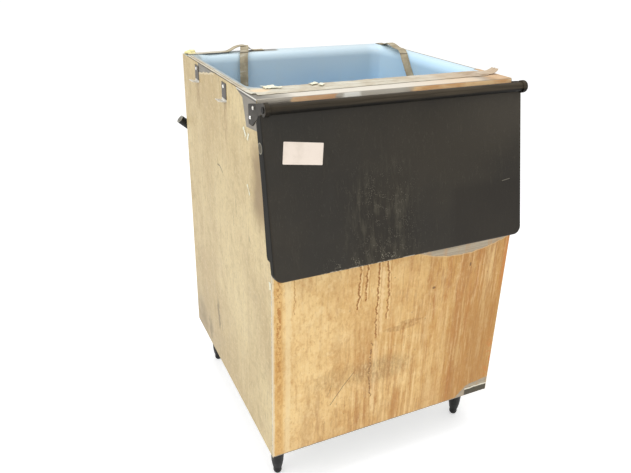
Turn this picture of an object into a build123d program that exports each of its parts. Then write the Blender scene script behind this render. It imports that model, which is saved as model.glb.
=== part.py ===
from build123d import *
import math
import os

# Ice storage bin: an insulated steel cabinet on four legs, open at the top for the ice
# machine that stands on it, with a sloped door hinged at the top of its front.
# Millimetres. X is the width, the front faces -Y, Z is up from the floor.

# Cabinet
BIN_WIDTH = 762.0
BIN_DEPTH = 792.0
BIN_HEIGHT = 1020.0
LEG_HEIGHT = 152.0
TOP_SETBACK = 91.0
KNEE_HEIGHT = 625.0
SHEET = 1.0
RETURN_FLANGE = 18.0
BEND_RADIUS = 2.0
BASE_RIM = 20.0

# Front header
HEADER_DEPTH = 115.0
HEADER_FACE = 36.0
HEADER_TAB = 145.0
HEADER_TAB_WIDTH = 17.0
GUSSET_DROP = 83.0
GUSSET_REAR_TAPER = 26.0

# Liner and insulation
LINER_WALL = 4.0
FOAM_WALL = 48.0
FLOOR_DEPTH = 55.0
CORNER_RADIUS = 40.0
FLARE_RADIUS = 30.0
BRIDGE_HEIGHT = 45.0
BRIDGE_REACH = 140.0
SILL_HEIGHT = 655.0

# Frame trim round the door opening
TRIM_PLATE = 3.0
TRIM_LIP = 2.5
TRIM_LIP_DEPTH = 16.0
TRIM_MARGIN = 0.5
PANEL_LAP = 10.0
PANEL_OVER_SILL = 14.0

# Rim gasket tape
TAPE_WIDTH = 28.0
TAPE_THICKNESS = 3.0
SIDE_TAPE_WIDTH = 16.0
FRONT_TAPE_WIDTH = 78.0
FRONT_TAPE_SHORT = 37.0
FRONT_CURL_WIDTH = 46.0

# Hinge
HINGE_FORWARD = 50.0
HINGE_DROP = 13.0
ROLL_RADIUS = 13.0
ROLL_BORE = 9.0
ROLL_END_IN = 10.0
ROLL_TAIL_LENGTH = 40.0
ROLL_TAIL = 4.0
BUSH_RADIUS = 17.0
BUSH_SPIGOT = 19.0
PIN_RADIUS = 5.0
PIN_HEAD_RADIUS = 8.0
PIN_HEAD = 1.5
PIN_LENGTH = 30.0
RUNNING_GAP = 0.05
SEAT_GAP = 0.3
BRACKET_SHEET = 1.8
EAR_RADIUS = 16.0
BRACKET_CORNER = 4.0

# Door
DOOR_TOE_IN = 0.93
DOOR_BELOW_KNEE = 34.0
DOOR_TOP = 13.0
DOOR_FACE_IN = 12.0
DOOR_SKIN = 2.4
DOOR_EDGE_RADIUS = 5.0
DOOR_CORNER_RADIUS = 24.0
DOOR_DEPTH = 19.0
FLANGE_DEPTH = 33.5
FLANGE_DEEP = 42.0
FLANGE_SHALLOW = 23.0
FLANGE_STEP = 55.0
FLANGE_TAPER_START = 205.0
INNER_PANEL = 2.5
PLUG_DEPTH = 8.5
PLUG_MARGIN = 15.0
PLUG_TAPER = 20.0
PLUG_CORNER = 22.0
PANEL_SCREW_TOP = 60.0
PANEL_SCREW_FOOT = 90.0
BUMPER_RADIUS = 9.0
BUMPER_INSET = 25.0
BUMPER_RISE = 11.0

# Lot tag on the door
TAG_WIDTH = 105.0
TAG_HEIGHT = 54.0
TAG_PAPER = 0.4
TAG_TURN = -7.6
TAG_FROM_LEFT = 95.0
TAG_DOWN = 111.0

# Scoop hooks on the left side
HOOK_SHEET = 1.5
HOOK_WIDTH = 38.0
HOOK_HEIGHT = 50.0
HOOK_TAB = 21.0
HOOK_BELOW_TOP = 8.0
HOOK_TILT = 10.0
HOOK_FROM_BACK = 174.0
HOOK_PITCH = 275.0
HOOK_SCREW_DOWN = 10.0

# Screws
SCREW_RADIUS = 2.4
SCREW_HEAD_RADIUS = 5.0
SCREW_HEAD = 2.6
SCREW_LENGTH = 12.0
SCREW_HOLE_GAP = 0.1

# Legs and feet
LEG_INSET_X = 48.0
LEG_INSET_FRONT = 86.0
LEG_INSET_REAR = 81.0
LEG_TOP_RADIUS = 24.0
LEG_FLANGE_RADIUS = 26.0
LEG_FLANGE = 6.0
LEG_WAIST_RADIUS = 18.5
LEG_WAIST_HEIGHT = 47.0
LEG_END_RADIUS = 15.0
FOOT_HEIGHT = 27.0
FOOT_RADIUS = 13.0
FOOT_FLAT_RADIUS = 7.0
FOOT_STEM_RADIUS = 6.0
FOOT_STEM_LENGTH = 55.0
STUD_RADIUS = 6.35
STUD_LENGTH = 20.0
NUT_PLATE = 6.0
NUT_PLATE_SIZE = 62.0

# Drain
DRAIN_FROM_LEFT = 441.0
DRAIN_FROM_BACK = 116.0
DRAIN_BORE = 8.5
DRAIN_TUBE = 12.0
DRAIN_FLANGE_RADIUS = 26.0
DRAIN_FLANGE = 2.5
DRAIN_NUT_FLATS = 36.0
DRAIN_NUT = 8.0
DRAIN_THREAD = 14.0
PIPE_DROP = 44.0
PIPE_BEND = 24.0
PIPE_RISE = 45.0
SPIGOT_RADIUS = 10.0
SPIGOT_BORE = 7.5
SPIGOT_LENGTH = 30.0
HOSE_RADIUS = 14.0
HOSE_WALL = 3.9
HOSE_STAND_OFF = 22.0
CLAMP_BAND = 1.2
CLAMP_WIDTH = 10.0
CLIP_BAND = 1.2
CLIP_WIDTH = 13.0
CLIP_FOOT = 22.0

# The hose's route up the back, as (in from the left side, height above the base), to its mouth
HOSE_ROUTE = [(441, 208), (351, 438), (221, 593), (-18.7, 797)]

# Gasket strips that have come loose, as centre points (in from the nearer side, in from the back,
# height above the rim)
BACK_STRIP = [(9, 21, 0), (41, 21, 0), (96, 20, 1), (140, 19, 2), (164, 18, 9), (192, 17, 13),
              (219, 15, 20), (245, 15, 8), (262, 16, 0), (278, 16, 0)]
BACK_TAIL = [(207, 6, 16), (207, 18, 17), (201, 36, 9), (194, 50, -12), (190, 60, -46), (188, 66, -88),
             (186, 71, -138)]
RIGHT_TAIL = [(20, 4, 0), (21, 20, 0), (21, 42, 1.5), (24, 75, 9), (31, 104, 14), (41, 158, 8),
              (55, 218, 7), (65, 258, -19), (65, 275, -41), (65, 292, -63), (65, 308, -89)]

# The hinge bracket's plate and its screws, as (behind the hinge axis, above it)
BRACKET_OUTLINE = [(101, -7), (100, -56), (74, -56), (31, -23), (10, -12)]
BRACKET_SCREWS = [(64, -9), (85, -37)]

# Places worked out from the sizes above
SIDE_X = BIN_WIDTH / 2
INNER_X = SIDE_X - SHEET
ROLL_HALF_LENGTH = SIDE_X - ROLL_END_IN
FRONT_TAPE_END = SIDE_X - FRONT_TAPE_SHORT
TAG_X = TAG_FROM_LEFT - SIDE_X
DRAIN_X = DRAIN_FROM_LEFT - SIDE_X
FRONT_Y = -BIN_DEPTH / 2
BACK_Y = BIN_DEPTH / 2
HOOK_REAR_Y = BACK_Y - HOOK_FROM_BACK
HOOK_FRONT_Y = HOOK_REAR_Y - HOOK_PITCH
BASE_Z = LEG_HEIGHT
TOP_Z = BASE_Z + BIN_HEIGHT
KNEE_Z = BASE_Z + KNEE_HEIGHT
CREST_Y = FRONT_Y + TOP_SETBACK
SLOPE = math.atan2(TOP_SETBACK, TOP_Z - KNEE_Z)
PAN_Z = BASE_Z + SHEET
FLOOR_Z = BASE_Z + FLOOR_DEPTH
SILL_Z = BASE_Z + SILL_HEIGHT
SOFFIT_Z = TOP_Z - BRIDGE_HEIGHT
CAVITY_X = SIDE_X - FOAM_WALL
CAVITY_BACK = BACK_Y - FOAM_WALL + 2 * SHEET
CAVITY_FRONT = FRONT_Y + FOAM_WALL + 2 * SHEET
BRIDGE_Y = CREST_Y + BRIDGE_REACH
HEADER_REAR = CREST_Y + HEADER_DEPTH
SKIN_DEPTH = TRIM_PLATE + SHEET
HINGE_Y = CREST_Y - HINGE_FORWARD
HINGE_Z = TOP_Z - HINGE_DROP
BRACKET_X = SIDE_X + SHEET
EAR_FACE_X = BRACKET_X + BRACKET_SHEET
DOOR_INNER_X = EAR_FACE_X + SEAT_GAP
DOOR_HALF_WIDTH = DOOR_INNER_X + DOOR_SKIN
DOOR_TILT = SLOPE - math.radians(DOOR_TOE_IN)
FACE_N = -DOOR_FACE_IN
SKIN_BACK_N = FACE_N - DOOR_SKIN
CORE_BACK_N = FACE_N - DOOR_DEPTH
PANEL_BACK_N = CORE_BACK_N - INNER_PANEL
HOSE_Y = BACK_Y + HOSE_STAND_OFF
HOSE_BORE = HOSE_RADIUS - HOSE_WALL
BACK_SCREW_ROWS = 4
HOOK_SCREW_Z = TOP_Z - HOOK_BELOW_TOP - HOOK_SCREW_DOWN
LEG_PLACES = {
    "front_left": (-SIDE_X + LEG_INSET_X, FRONT_Y + LEG_INSET_FRONT),
    "front_right": (SIDE_X - LEG_INSET_X, FRONT_Y + LEG_INSET_FRONT),
    "rear_left": (-SIDE_X + LEG_INSET_X, BACK_Y - LEG_INSET_REAR),
    "rear_right": (SIDE_X - LEG_INSET_X, BACK_Y - LEG_INSET_REAR),
}


def prism(points, x0, x1):
    """A (Y, Z) outline made solid between two X planes."""
    outline = Plane.YZ.offset(x0) * make_face(Polyline(*points, close=True))
    return extrude(outline, amount=x1 - x0, dir=(1, 0, 0))


def block(x0, x1, y0, y1, z0, z1):
    """A plain block between six planes."""
    middle = Pos((x0 + x1) / 2, (y0 + y1) / 2, (z0 + z1) / 2)
    return middle * Box(abs(x1 - x0), abs(y1 - y0), abs(z1 - z0))


def bent_sheet(points, radius, x0, x1):
    """A sheet bent along a (Y, Z) centre line, between two X planes."""
    section = trace(FilletPolyline(*points, radius=radius), SHEET)
    return extrude(Plane.YZ.offset(x0) * section, amount=x1 - x0, dir=(1, 0, 0))


def other_side(solid):
    """The same piece on the other side of the bin."""
    return mirror(solid, about=Plane.YZ)


def rod(start, direction, radius, length):
    """A round bar from a point along a direction."""
    place = Plane(origin=start, z_dir=direction)
    return place * Cylinder(radius, length, align=(Align.CENTER, Align.CENTER, Align.MIN))


def slope_y(z, inset):
    """Y of the sloped front at a height, some depth behind its outer surface."""
    return CREST_Y - (TOP_Z - z) * math.tan(SLOPE) + inset / math.cos(SLOPE)


def slope_plane(inset):
    """The plane of the sloped front, set in by some depth, with its origin at the crest."""
    origin = (0, CREST_Y + inset * math.cos(SLOPE), TOP_Z - inset * math.sin(SLOPE))
    return Plane(origin=origin, x_dir=(1, 0, 0), z_dir=(0, -math.cos(SLOPE), math.sin(SLOPE)))


def slope_run(z, inset):
    """Distance down the slope plane from its origin to a height."""
    return (TOP_Z - inset * math.sin(SLOPE) - z) / math.cos(SLOPE)


def door_place(s, n):
    """(Y, Z) of a point s below the hinge axis along the door and n in front of it."""
    y = HINGE_Y - s * math.sin(DOOR_TILT) - n * math.cos(DOOR_TILT)
    z = HINGE_Z - s * math.cos(DOOR_TILT) + n * math.sin(DOOR_TILT)
    return y, z


def door_plane(n):
    """The plane parallel to the door's face, n in front of the hinge axis."""
    normal = (0, -math.cos(DOOR_TILT), math.sin(DOOR_TILT))
    return Plane(origin=(0, *door_place(0, n)), x_dir=(1, 0, 0), z_dir=normal)


def door_run(z, n):
    """Distance along the door from the hinge axis down to a height."""
    return (HINGE_Z - z + n * math.sin(DOOR_TILT)) / math.cos(DOOR_TILT)


DOOR_BOTTOM = door_run(KNEE_Z - DOOR_BELOW_KNEE, FACE_N)


def screw(length):
    """A pan head screw with its seat at the origin and its shank along -Z."""
    head = Cylinder(SCREW_HEAD_RADIUS, SCREW_HEAD, align=(Align.CENTER, Align.CENTER, Align.MIN))
    head = chamfer(head.edges().group_by(Axis.Z)[-1], SCREW_HEAD * 0.4)
    shank = Cylinder(SCREW_RADIUS, length, align=(Align.CENTER, Align.CENTER, Align.MAX))
    return head + shank


def screw_holes(places, direction, depth):
    """Clearance holes for screws at the given seats, along a direction."""
    radius = SCREW_RADIUS + SCREW_HOLE_GAP
    return [rod(place, direction, radius, depth) for place in places]


def bracket_seats(x):
    """Seats of the left bracket's screws at a given X."""
    return [(x, HINGE_Y + behind, HINGE_Z + above) for behind, above in BRACKET_SCREWS]


def hook_seats(x):
    """Seats of the two hook screws at a given X."""
    return [(x, y, HOOK_SCREW_Z) for y in (HOOK_REAR_Y, HOOK_FRONT_Y)]


def back_seats():
    """Seats of the back panel's screws on its outer face."""
    x = INNER_X - RETURN_FLANGE / 2
    first = BASE_Z + 60
    pitch = (TOP_Z - 60 - first) / (BACK_SCREW_ROWS - 1)
    return [(side * x, BACK_Y, first + row * pitch) for side in (-1, 1) for row in range(BACK_SCREW_ROWS)]


def side_panel_right():
    """Sheet side with the sloped front corner, its rear and bottom edges returned inwards."""
    outline = [(BACK_Y, BASE_Z), (BACK_Y, TOP_Z), (CREST_Y, TOP_Z), (FRONT_Y, KNEE_Z), (FRONT_Y, BASE_Z)]
    sheet = prism(outline, INNER_X, SIDE_X)
    flange_x = INNER_X - RETURN_FLANGE
    rear_y = BACK_Y - SHEET
    rear = block(flange_x, INNER_X, rear_y - SHEET, rear_y, BASE_Z, TOP_Z - LINER_WALL)
    front_y = FRONT_Y + SHEET + RETURN_FLANGE + 1
    bottom = block(flange_x, INNER_X, front_y, rear_y, BASE_Z, PAN_Z)
    panel = sheet + rear + bottom
    panel -= screw_holes([(x, y, z) for x, y, z in back_seats() if x > 0], (0, -1, 0), 4 * SHEET)
    return panel - screw_holes(bracket_seats(BRACKET_X), (-1, 0, 0), 3 * SHEET)


def side_panel_left():
    """The right side's mirror image, with the holes of the scoop hooks."""
    return other_side(side_panel_right()) - screw_holes(hook_seats(-SIDE_X), (1, 0, 0), 3 * SHEET)


def front_panel():
    """Sheet front, returned under the base and bent at the knee to the foot of the door opening."""
    half = SHEET / 2
    knee_z = TOP_Z - (TOP_SETBACK + half / math.cos(SLOPE) - half) / math.tan(SLOPE)
    top_z = SILL_Z - PANEL_OVER_SILL
    line = [
        (FRONT_Y + RETURN_FLANGE, BASE_Z + half),
        (FRONT_Y + half, BASE_Z + half),
        (FRONT_Y + half, knee_z),
        (slope_y(top_z, half), top_z),
    ]
    return bent_sheet(line, BEND_RADIUS, -INNER_X, INNER_X)


def back_panel():
    """Flat sheet back between the sides, with two pressed ribs, its foot returned inwards."""
    sheet = block(-INNER_X, INNER_X, BACK_Y - SHEET, BACK_Y, BASE_Z, TOP_Z)
    reach = INNER_X - RETURN_FLANGE - 1
    foot = block(-reach, reach, BACK_Y - RETURN_FLANGE, BACK_Y - SHEET, BASE_Z, PAN_Z)
    return sheet + foot - screw_holes(back_seats(), (0, -1, 0), 4 * SHEET)


def pan_space(wall):
    """The base pan's outside, or its inside, one wall in."""
    x = INNER_X - wall
    return block(-x, x, FRONT_Y + SHEET + wall, BACK_Y - 2 * SHEET - wall, PAN_Z + wall, PAN_Z + BASE_RIM)


def base_pan():
    """Bottom sheet with an upturned rim, lying on the returned edges of the panels."""
    outer = pan_space(0)
    pan = fillet(outer.edges().group_by(Axis.Z)[0], BEND_RADIUS) - pan_space(SHEET)
    for x, y in LEG_PLACES.values():
        pan -= rod((x, y, BASE_Z), (0, 0, 1), STUD_RADIUS + SCREW_HOLE_GAP, 3 * SHEET)
    drain = (DRAIN_X, BACK_Y - DRAIN_FROM_BACK, BASE_Z)
    return pan - rod(drain, (0, 0, 1), DRAIN_TUBE + SCREW_HOLE_GAP, 3 * SHEET)


def front_header():
    """Channel across the top of the front, its face on the slope, with plates folded down the sides."""
    half = SHEET / 2
    high = TOP_Z + half
    foot = TOP_Z - HEADER_FACE + half
    line = [
        (HEADER_REAR, high),
        (slope_y(high, half), high),
        (slope_y(foot, half), foot),
        (slope_y(foot, half) + RETURN_FLANGE, foot),
    ]
    header = bent_sheet(line, BEND_RADIUS, -INNER_X, INNER_X)
    tab_y = CREST_Y + HEADER_TAB
    tab_x = SIDE_X - HEADER_TAB_WIDTH
    tab = block(tab_x, BRACKET_X, HEADER_REAR - 1, tab_y, TOP_Z, TOP_Z + SHEET)
    wing = block(INNER_X - 1, BRACKET_X, CREST_Y + BEND_RADIUS + SHEET, HEADER_REAR, TOP_Z, TOP_Z + SHEET)
    low = TOP_Z - GUSSET_DROP
    plate = prism(
        [
            (CREST_Y, TOP_Z + SHEET),
            (tab_y, TOP_Z + SHEET),
            (tab_y, TOP_Z - 2),
            (tab_y - 46, TOP_Z - 15),
            (tab_y - 46 - GUSSET_REAR_TAPER, low),
            (slope_y(low + 9, 0), low + 9),
        ],
        SIDE_X,
        BRACKET_X,
    )
    plate -= screw_holes(bracket_seats(BRACKET_X), (-1, 0, 0), 3 * SHEET)
    end = tab + wing + plate
    return header + end + other_side(end)


def cavity(grow):
    """The space for the ice with its rounded corners, grown by a wall on every side."""
    half = CAVITY_X + grow
    back = CAVITY_BACK + grow
    front = CAVITY_FRONT - grow
    floor = FLOOR_Z - grow
    sill = SILL_Z - grow
    soffit = SOFFIT_Z + grow
    bridge = BRIDGE_Y - grow
    corner = CORNER_RADIUS + grow
    tub = block(-half, half, front, back, floor, sill)
    tub = fillet(tub.edges().filter_by(Axis.Z) + tub.edges().group_by(Axis.Z)[0], corner)
    past = FOAM_WALL
    mouth = [(back, sill), (back, soffit), (slope_y(soffit, 0) - past, soffit), (slope_y(sill, 0) - past, sill)]
    throat = prism(mouth, -half, half)
    throat = fillet(throat.edges().filter_by(Axis.Z), corner)
    shaft = block(-half, half, bridge, back, soffit, TOP_Z + past)
    shaft = fillet(shaft.edges().filter_by(Axis.Z), corner)
    return tub + throat + shaft


def lined_block(grow):
    """The body behind the outer sheets, with the ice space taken out and its top edge flared."""
    top = TOP_Z - grow
    inner_front = FRONT_Y + SHEET
    header_z = TOP_Z - HEADER_FACE
    knee_z = TOP_Z - (TOP_SETBACK - SHEET + SKIN_DEPTH / math.cos(SLOPE)) / math.tan(SLOPE)
    back = BACK_Y - SHEET
    outline = [
        (back, PAN_Z + SHEET),
        (back, top),
        (slope_y(top, SHEET), top),
        (slope_y(header_z, SHEET), header_z),
        (slope_y(header_z, SKIN_DEPTH), header_z),
        (inner_front, knee_z),
        (inner_front, PAN_Z + SHEET),
    ]
    body = prism(outline, -INNER_X, INNER_X) - cavity(grow)
    rim = [
        edge
        for edge in body.edges().filter_by_position(Axis.Z, top - 0.01, top + 0.01)
        if abs(edge.center().X) < INNER_X - 1 and BRIDGE_Y - 2 * LINER_WALL < edge.center().Y < back - 1
    ]
    return fillet(rim, FLARE_RADIUS - grow)


def keep_beyond(body, place, normal):
    """The part of a body on the side of a plane that its normal points to."""
    return split(body, bisect_by=Plane(origin=place, z_dir=normal), keep=Keep.TOP)


def foam_blocks(foam):
    """The insulation as six blocks that meet on mitres from the liner's rounded corners."""
    radius = CORNER_RADIUS + LINER_WALL
    side = CAVITY_X + LINER_WALL - radius
    back = CAVITY_BACK + LINER_WALL - radius
    front = CAVITY_FRONT - LINER_WALL + radius
    floor = FLOOR_Z - LINER_WALL + radius
    bridge = BRIDGE_Y - LINER_WALL + radius
    header = keep_beyond(foam, (0, 0, SOFFIT_Z + LINER_WALL), (0, 0, 1))
    header = keep_beyond(header, (side, bridge, 0), (-1, -1, 0))
    header = keep_beyond(header, (-side, bridge, 0), (1, -1, 0))
    rest = foam - header
    rear = keep_beyond(rest, (side, back, 0), (-1, 1, 0))
    rear = keep_beyond(rear, (-side, back, 0), (1, 1, 0))
    rear = keep_beyond(rear, (0, back, floor), (0, 1, 1))
    face = keep_beyond(rest, (0, 0, SILL_Z - LINER_WALL), (0, 0, -1))
    face = keep_beyond(face, (side, front, 0), (-1, -1, 0))
    face = keep_beyond(face, (-side, front, 0), (1, -1, 0))
    face = keep_beyond(face, (0, front, floor), (0, -1, 1))
    ground = keep_beyond(rest, (side, 0, floor), (-1, 0, -1))
    ground = keep_beyond(ground, (-side, 0, floor), (1, 0, -1))
    ground = keep_beyond(ground, (0, back, floor), (0, -1, -1))
    ground = keep_beyond(ground, (0, front, floor), (0, 1, -1))
    sides = rest - rear - face - ground
    return {
        "foam_left": keep_beyond(sides, (0, 0, 0), (-1, 0, 0)),
        "foam_right": keep_beyond(sides, (0, 0, 0), (1, 0, 0)),
        "foam_back": rear,
        "foam_front": face,
        "foam_floor": ground,
        "foam_header": header,
    }


def drain_hole(radius):
    """The upright hole of the drain through floor, foam and base."""
    return rod((DRAIN_X, BACK_Y - DRAIN_FROM_BACK, BASE_Z - 5), (0, 0, 1), radius, FLOOR_DEPTH + 30)


def door_frame_trim():
    """Frame that caps the foam edge round the door opening, with a lip over the liner's edge."""
    plane = slope_plane(SHEET)
    top = slope_run(SOFFIT_Z, SHEET)
    bottom = slope_run(SILL_Z, SHEET)
    header_edge = slope_run(TOP_Z - HEADER_FACE, SHEET) + 2 * TRIM_MARGIN
    half = INNER_X - TRIM_MARGIN

    def frame(x, high, low):
        return Pos(0, -(high + low) / 2) * Rectangle(2 * x, low - high)

    opening = frame(CAVITY_X, top, bottom)
    clear = frame(CAVITY_X - TRIM_LIP, top + TRIM_LIP, bottom - TRIM_LIP)
    plate = frame(half, header_edge, bottom + PANEL_OVER_SILL + PANEL_LAP) - clear
    ring = extrude(plane * plate, amount=-TRIM_PLATE)
    lip = extrude(plane * (opening - clear), amount=TRIM_LIP_DEPTH, dir=(0, 1, 0))
    return ring + lip


def from_corner(points, side):
    """(X, Y, height) of points given from the back corner on one side."""
    return [(side * (SIDE_X - inwards), BACK_Y - forwards, height) for inwards, forwards, height in points]


def ribbon(points, across, thickness, width):
    """A strip of tape through centre points, flat across the given direction."""
    across = Vector(*across).normalized()
    places = [Vector(x, y, TOP_Z + z + thickness / 2) for x, y, z in points]
    sections = []
    for i, place in enumerate(places):
        before = places[max(i - 1, 0)]
        after = places[min(i + 1, len(places) - 1)]
        along = (after - before).normalized()
        side = (across - along * across.dot(along)).normalized()
        section = Plane(origin=place, x_dir=side, z_dir=along) * Rectangle(width, thickness)
        sections.append(section.face())
    return loft(sections, ruled=True)


def rim_gasket_left():
    """Flat tape along the left rim."""
    edge = -INNER_X
    front = CREST_Y + HEADER_TAB + 1
    return block(edge, edge + SIDE_TAPE_WIDTH, front, BACK_Y - 60, TOP_Z, TOP_Z + TAPE_THICKNESS)


def rim_gasket_front():
    """Broad tape along the header, its right end lifted."""
    rear = HEADER_REAR - 1
    z = TOP_Z + SHEET
    left = -SIDE_X + HEADER_TAB_WIDTH
    strip = block(left, FRONT_TAPE_END, rear - FRONT_TAPE_WIDTH, rear, z, z + TAPE_THICKNESS)
    centre = rear - FRONT_TAPE_WIDTH / 2
    base = SHEET
    curl = [
        (FRONT_TAPE_END, centre, base),
        (FRONT_TAPE_END + 16, centre, base + 1.5),
        (FRONT_TAPE_END + 30, centre + 1, base + 6),
        (FRONT_TAPE_END + 40, centre + 2, base + 14),
    ]
    return strip + ribbon(curl, (0, 1, 0), TAPE_THICKNESS, FRONT_CURL_WIDTH)


def rim_gasket_back_left():
    """Back tape from the left corner, bowed up, with its torn tail folded into the bin."""
    strip = ribbon(from_corner(BACK_STRIP, -1), (0, 1, 0), TAPE_THICKNESS, TAPE_WIDTH)
    return strip + ribbon(from_corner(BACK_TAIL, -1), (1, 0, 0), TAPE_THICKNESS, TAPE_WIDTH)


def rim_gasket_right():
    """Right tape, stuck at the back corner only, its loose tail hanging into the bin."""
    return ribbon(from_corner(RIGHT_TAIL, 1), (1, 0, 0), TAPE_THICKNESS, TAPE_WIDTH)


def hinge_bracket_right():
    """Steel plate screwed to the side, its rounded ear round the hinge axis."""
    outline = BRACKET_OUTLINE + [(0, EAR_RADIUS - 0.5)]
    arm = prism(
        [(HINGE_Y + behind, HINGE_Z + above) for behind, above in outline],
        BRACKET_X,
        EAR_FACE_X,
    )
    corners = [edge for edge in arm.edges().filter_by(Axis.X) if edge.center().Y > HINGE_Y + 70]
    arm = fillet(corners, BRACKET_CORNER)
    axis = (1, 0, 0)
    plate = arm + rod((BRACKET_X, HINGE_Y, HINGE_Z), axis, EAR_RADIUS, BRACKET_SHEET)
    plate -= rod((BRACKET_X - 1, HINGE_Y, HINGE_Z), axis, PIN_RADIUS + RUNNING_GAP, 3 * BRACKET_SHEET)
    return plate - screw_holes(bracket_seats(EAR_FACE_X + 1), (-1, 0, 0), 3 * BRACKET_SHEET)


def hinge_pin_right():
    """Headed pin through the bracket's ear into the roll's bush."""
    pin = rod((EAR_FACE_X - PIN_LENGTH, HINGE_Y, HINGE_Z), (1, 0, 0), PIN_RADIUS, PIN_LENGTH)
    return pin + rod((EAR_FACE_X, HINGE_Y, HINGE_Z), (1, 0, 0), PIN_HEAD_RADIUS, PIN_HEAD)


def hinge_roll():
    """Round hinge profile along the door's top, with a tail behind the skin."""
    n = SKIN_BACK_N
    tail = [
        door_place(-6, -4),
        door_place(-6, n - ROLL_TAIL),
        door_place(ROLL_TAIL_LENGTH, n - ROLL_TAIL),
        door_place(ROLL_TAIL_LENGTH, n),
        door_place(DOOR_TOP - 2, n),
        door_place(8, -6),
    ]
    outline = make_face(Polyline(*tail, close=True)) + Pos(HINGE_Y, HINGE_Z) * Circle(ROLL_RADIUS)
    outline -= Pos(HINGE_Y, HINGE_Z) * Circle(ROLL_BORE)
    half = ROLL_HALF_LENGTH
    return extrude(Plane.YZ.offset(-half) * outline, amount=2 * half, dir=(1, 0, 0))


def roll_bush_right():
    """End bush: a collar against the ear and a spigot in the roll's bore."""
    half = ROLL_HALF_LENGTH
    axis = (1, 0, 0)
    collar = rod((half, HINGE_Y, HINGE_Z), axis, BUSH_RADIUS, BRACKET_X - SEAT_GAP - half)
    collar = chamfer(collar.edges().filter_by(GeomType.CIRCLE), 1)
    spigot = rod((half - BUSH_SPIGOT, HINGE_Y, HINGE_Z), axis, ROLL_BORE - RUNNING_GAP, BUSH_SPIGOT + 1)
    bore = rod((half - 2 * BUSH_SPIGOT, HINGE_Y, HINGE_Z), axis, PIN_RADIUS + RUNNING_GAP, 4 * BUSH_SPIGOT)
    return collar + spigot - bore


def door_form(half, top, bottom, corner, front, depth, edge):
    """A block in the door's own plane with rounded bottom corners and rounded front edges."""
    face = Pos(0, -(top + bottom) / 2) * Rectangle(2 * half, bottom - top)
    face = fillet(face.vertices().group_by(Axis.Y)[0], corner)
    form = extrude(door_plane(front) * face, amount=-depth)
    out = Axis((0, 0, 0), (0, -math.cos(DOOR_TILT), math.sin(DOOR_TILT)))
    front_edges = form.faces().sort_by(out)[-1].edges()
    rounded = [e for e in front_edges if e.center().Z < door_place(top, front)[1] - 1]
    return fillet(rounded, edge)


def flange_cut():
    """What is cut away behind the skin's side flanges, to their stepped rear edge."""
    n = FACE_N
    step = DOOR_BOTTOM - FLANGE_STEP
    far = n - 3 * FLANGE_DEEP
    edge = [
        (DOOR_TOP - 5, n - 14),
        (DOOR_TOP + 4, n - 20),
        (DOOR_TOP + 17, n - FLANGE_DEPTH),
        (FLANGE_TAPER_START, n - FLANGE_DEPTH - 1),
        (step - 8, n - FLANGE_DEEP),
        (step, n - FLANGE_DEEP + 4),
        (step + 3, n - FLANGE_SHALLOW),
        (DOOR_BOTTOM - 18, n - FLANGE_SHALLOW + 2),
        (DOOR_BOTTOM - 10, n - FLANGE_SHALLOW + 6),
        (DOOR_BOTTOM + 10, n - FLANGE_SHALLOW + 6),
        (DOOR_BOTTOM + 10, far),
        (DOOR_TOP - 5, far),
    ]
    half = DOOR_HALF_WIDTH + 10
    return prism([door_place(s, d) for s, d in edge], -half, half)


def door_void():
    """The hollow of the door skin, open at the top and at the back."""
    return door_form(
        DOOR_INNER_X,
        DOOR_TOP - 10,
        DOOR_BOTTOM - DOOR_SKIN,
        DOOR_CORNER_RADIUS - DOOR_SKIN,
        SKIN_BACK_N,
        3 * FLANGE_DEEP,
        DOOR_EDGE_RADIUS - DOOR_SKIN,
    )


def door_skin():
    """Moulded outer pan of the door, with stepped side flanges."""
    pan = door_form(
        DOOR_HALF_WIDTH,
        DOOR_TOP,
        DOOR_BOTTOM,
        DOOR_CORNER_RADIUS,
        FACE_N,
        2 * FLANGE_DEEP,
        DOOR_EDGE_RADIUS,
    )
    return pan - door_void() - flange_cut()


def door_slab(half, top, bottom, front, back):
    """A plain block in the door's own plane."""
    face = Pos(0, -(top + bottom) / 2) * Rectangle(2 * half, bottom - top)
    return extrude(door_plane(front) * face, amount=back - front)


def plug(inset):
    """The raised field of the inner panel that stands in the door opening."""
    top = door_run(SOFFIT_Z, PANEL_BACK_N) + 2 * PLUG_MARGIN + inset
    bottom = door_run(SILL_Z, PANEL_BACK_N) - PLUG_MARGIN - inset
    half = CAVITY_X - PLUG_MARGIN - inset
    face = Pos(0, -(top + bottom) / 2) * RectangleRounded(2 * half, bottom - top, PLUG_CORNER - inset)
    start = CORE_BACK_N if inset else PANEL_BACK_N
    depth = INNER_PANEL + PLUG_DEPTH - inset if inset else PLUG_DEPTH
    return extrude(door_plane(start) * face, amount=-depth, taper=PLUG_TAPER)


def door_inner_panel():
    """Inner skin of the door, with its raised field."""
    bottom = DOOR_BOTTOM - DOOR_SKIN - SEAT_GAP
    plate = door_slab(DOOR_INNER_X - SEAT_GAP, DOOR_TOP + 3, bottom, CORE_BACK_N, PANEL_BACK_N)
    plate = fillet(plate.edges().filter_by(Axis(door_plane(0).origin, door_plane(0).z_dir)).group_by(Axis.Z)[0],
                   DOOR_CORNER_RADIUS - DOOR_SKIN)
    panel = plate + plug(0) - plug(INNER_PANEL)
    return panel - [door_plane(CORE_BACK_N) * Pos(x, -s, 0) * Cylinder(SCREW_RADIUS + SCREW_HOLE_GAP, 20)
                    for x, s in panel_screw_places()]


def panel_screw_places():
    """(X, distance down the door) of the inner panel's screws."""
    x = (CAVITY_X + DOOR_INNER_X) / 2
    rows = (PANEL_SCREW_TOP, DOOR_BOTTOM / 2, DOOR_BOTTOM - PANEL_SCREW_FOOT)
    return [(side * x, s) for side in (-1, 1) for s in rows]


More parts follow.
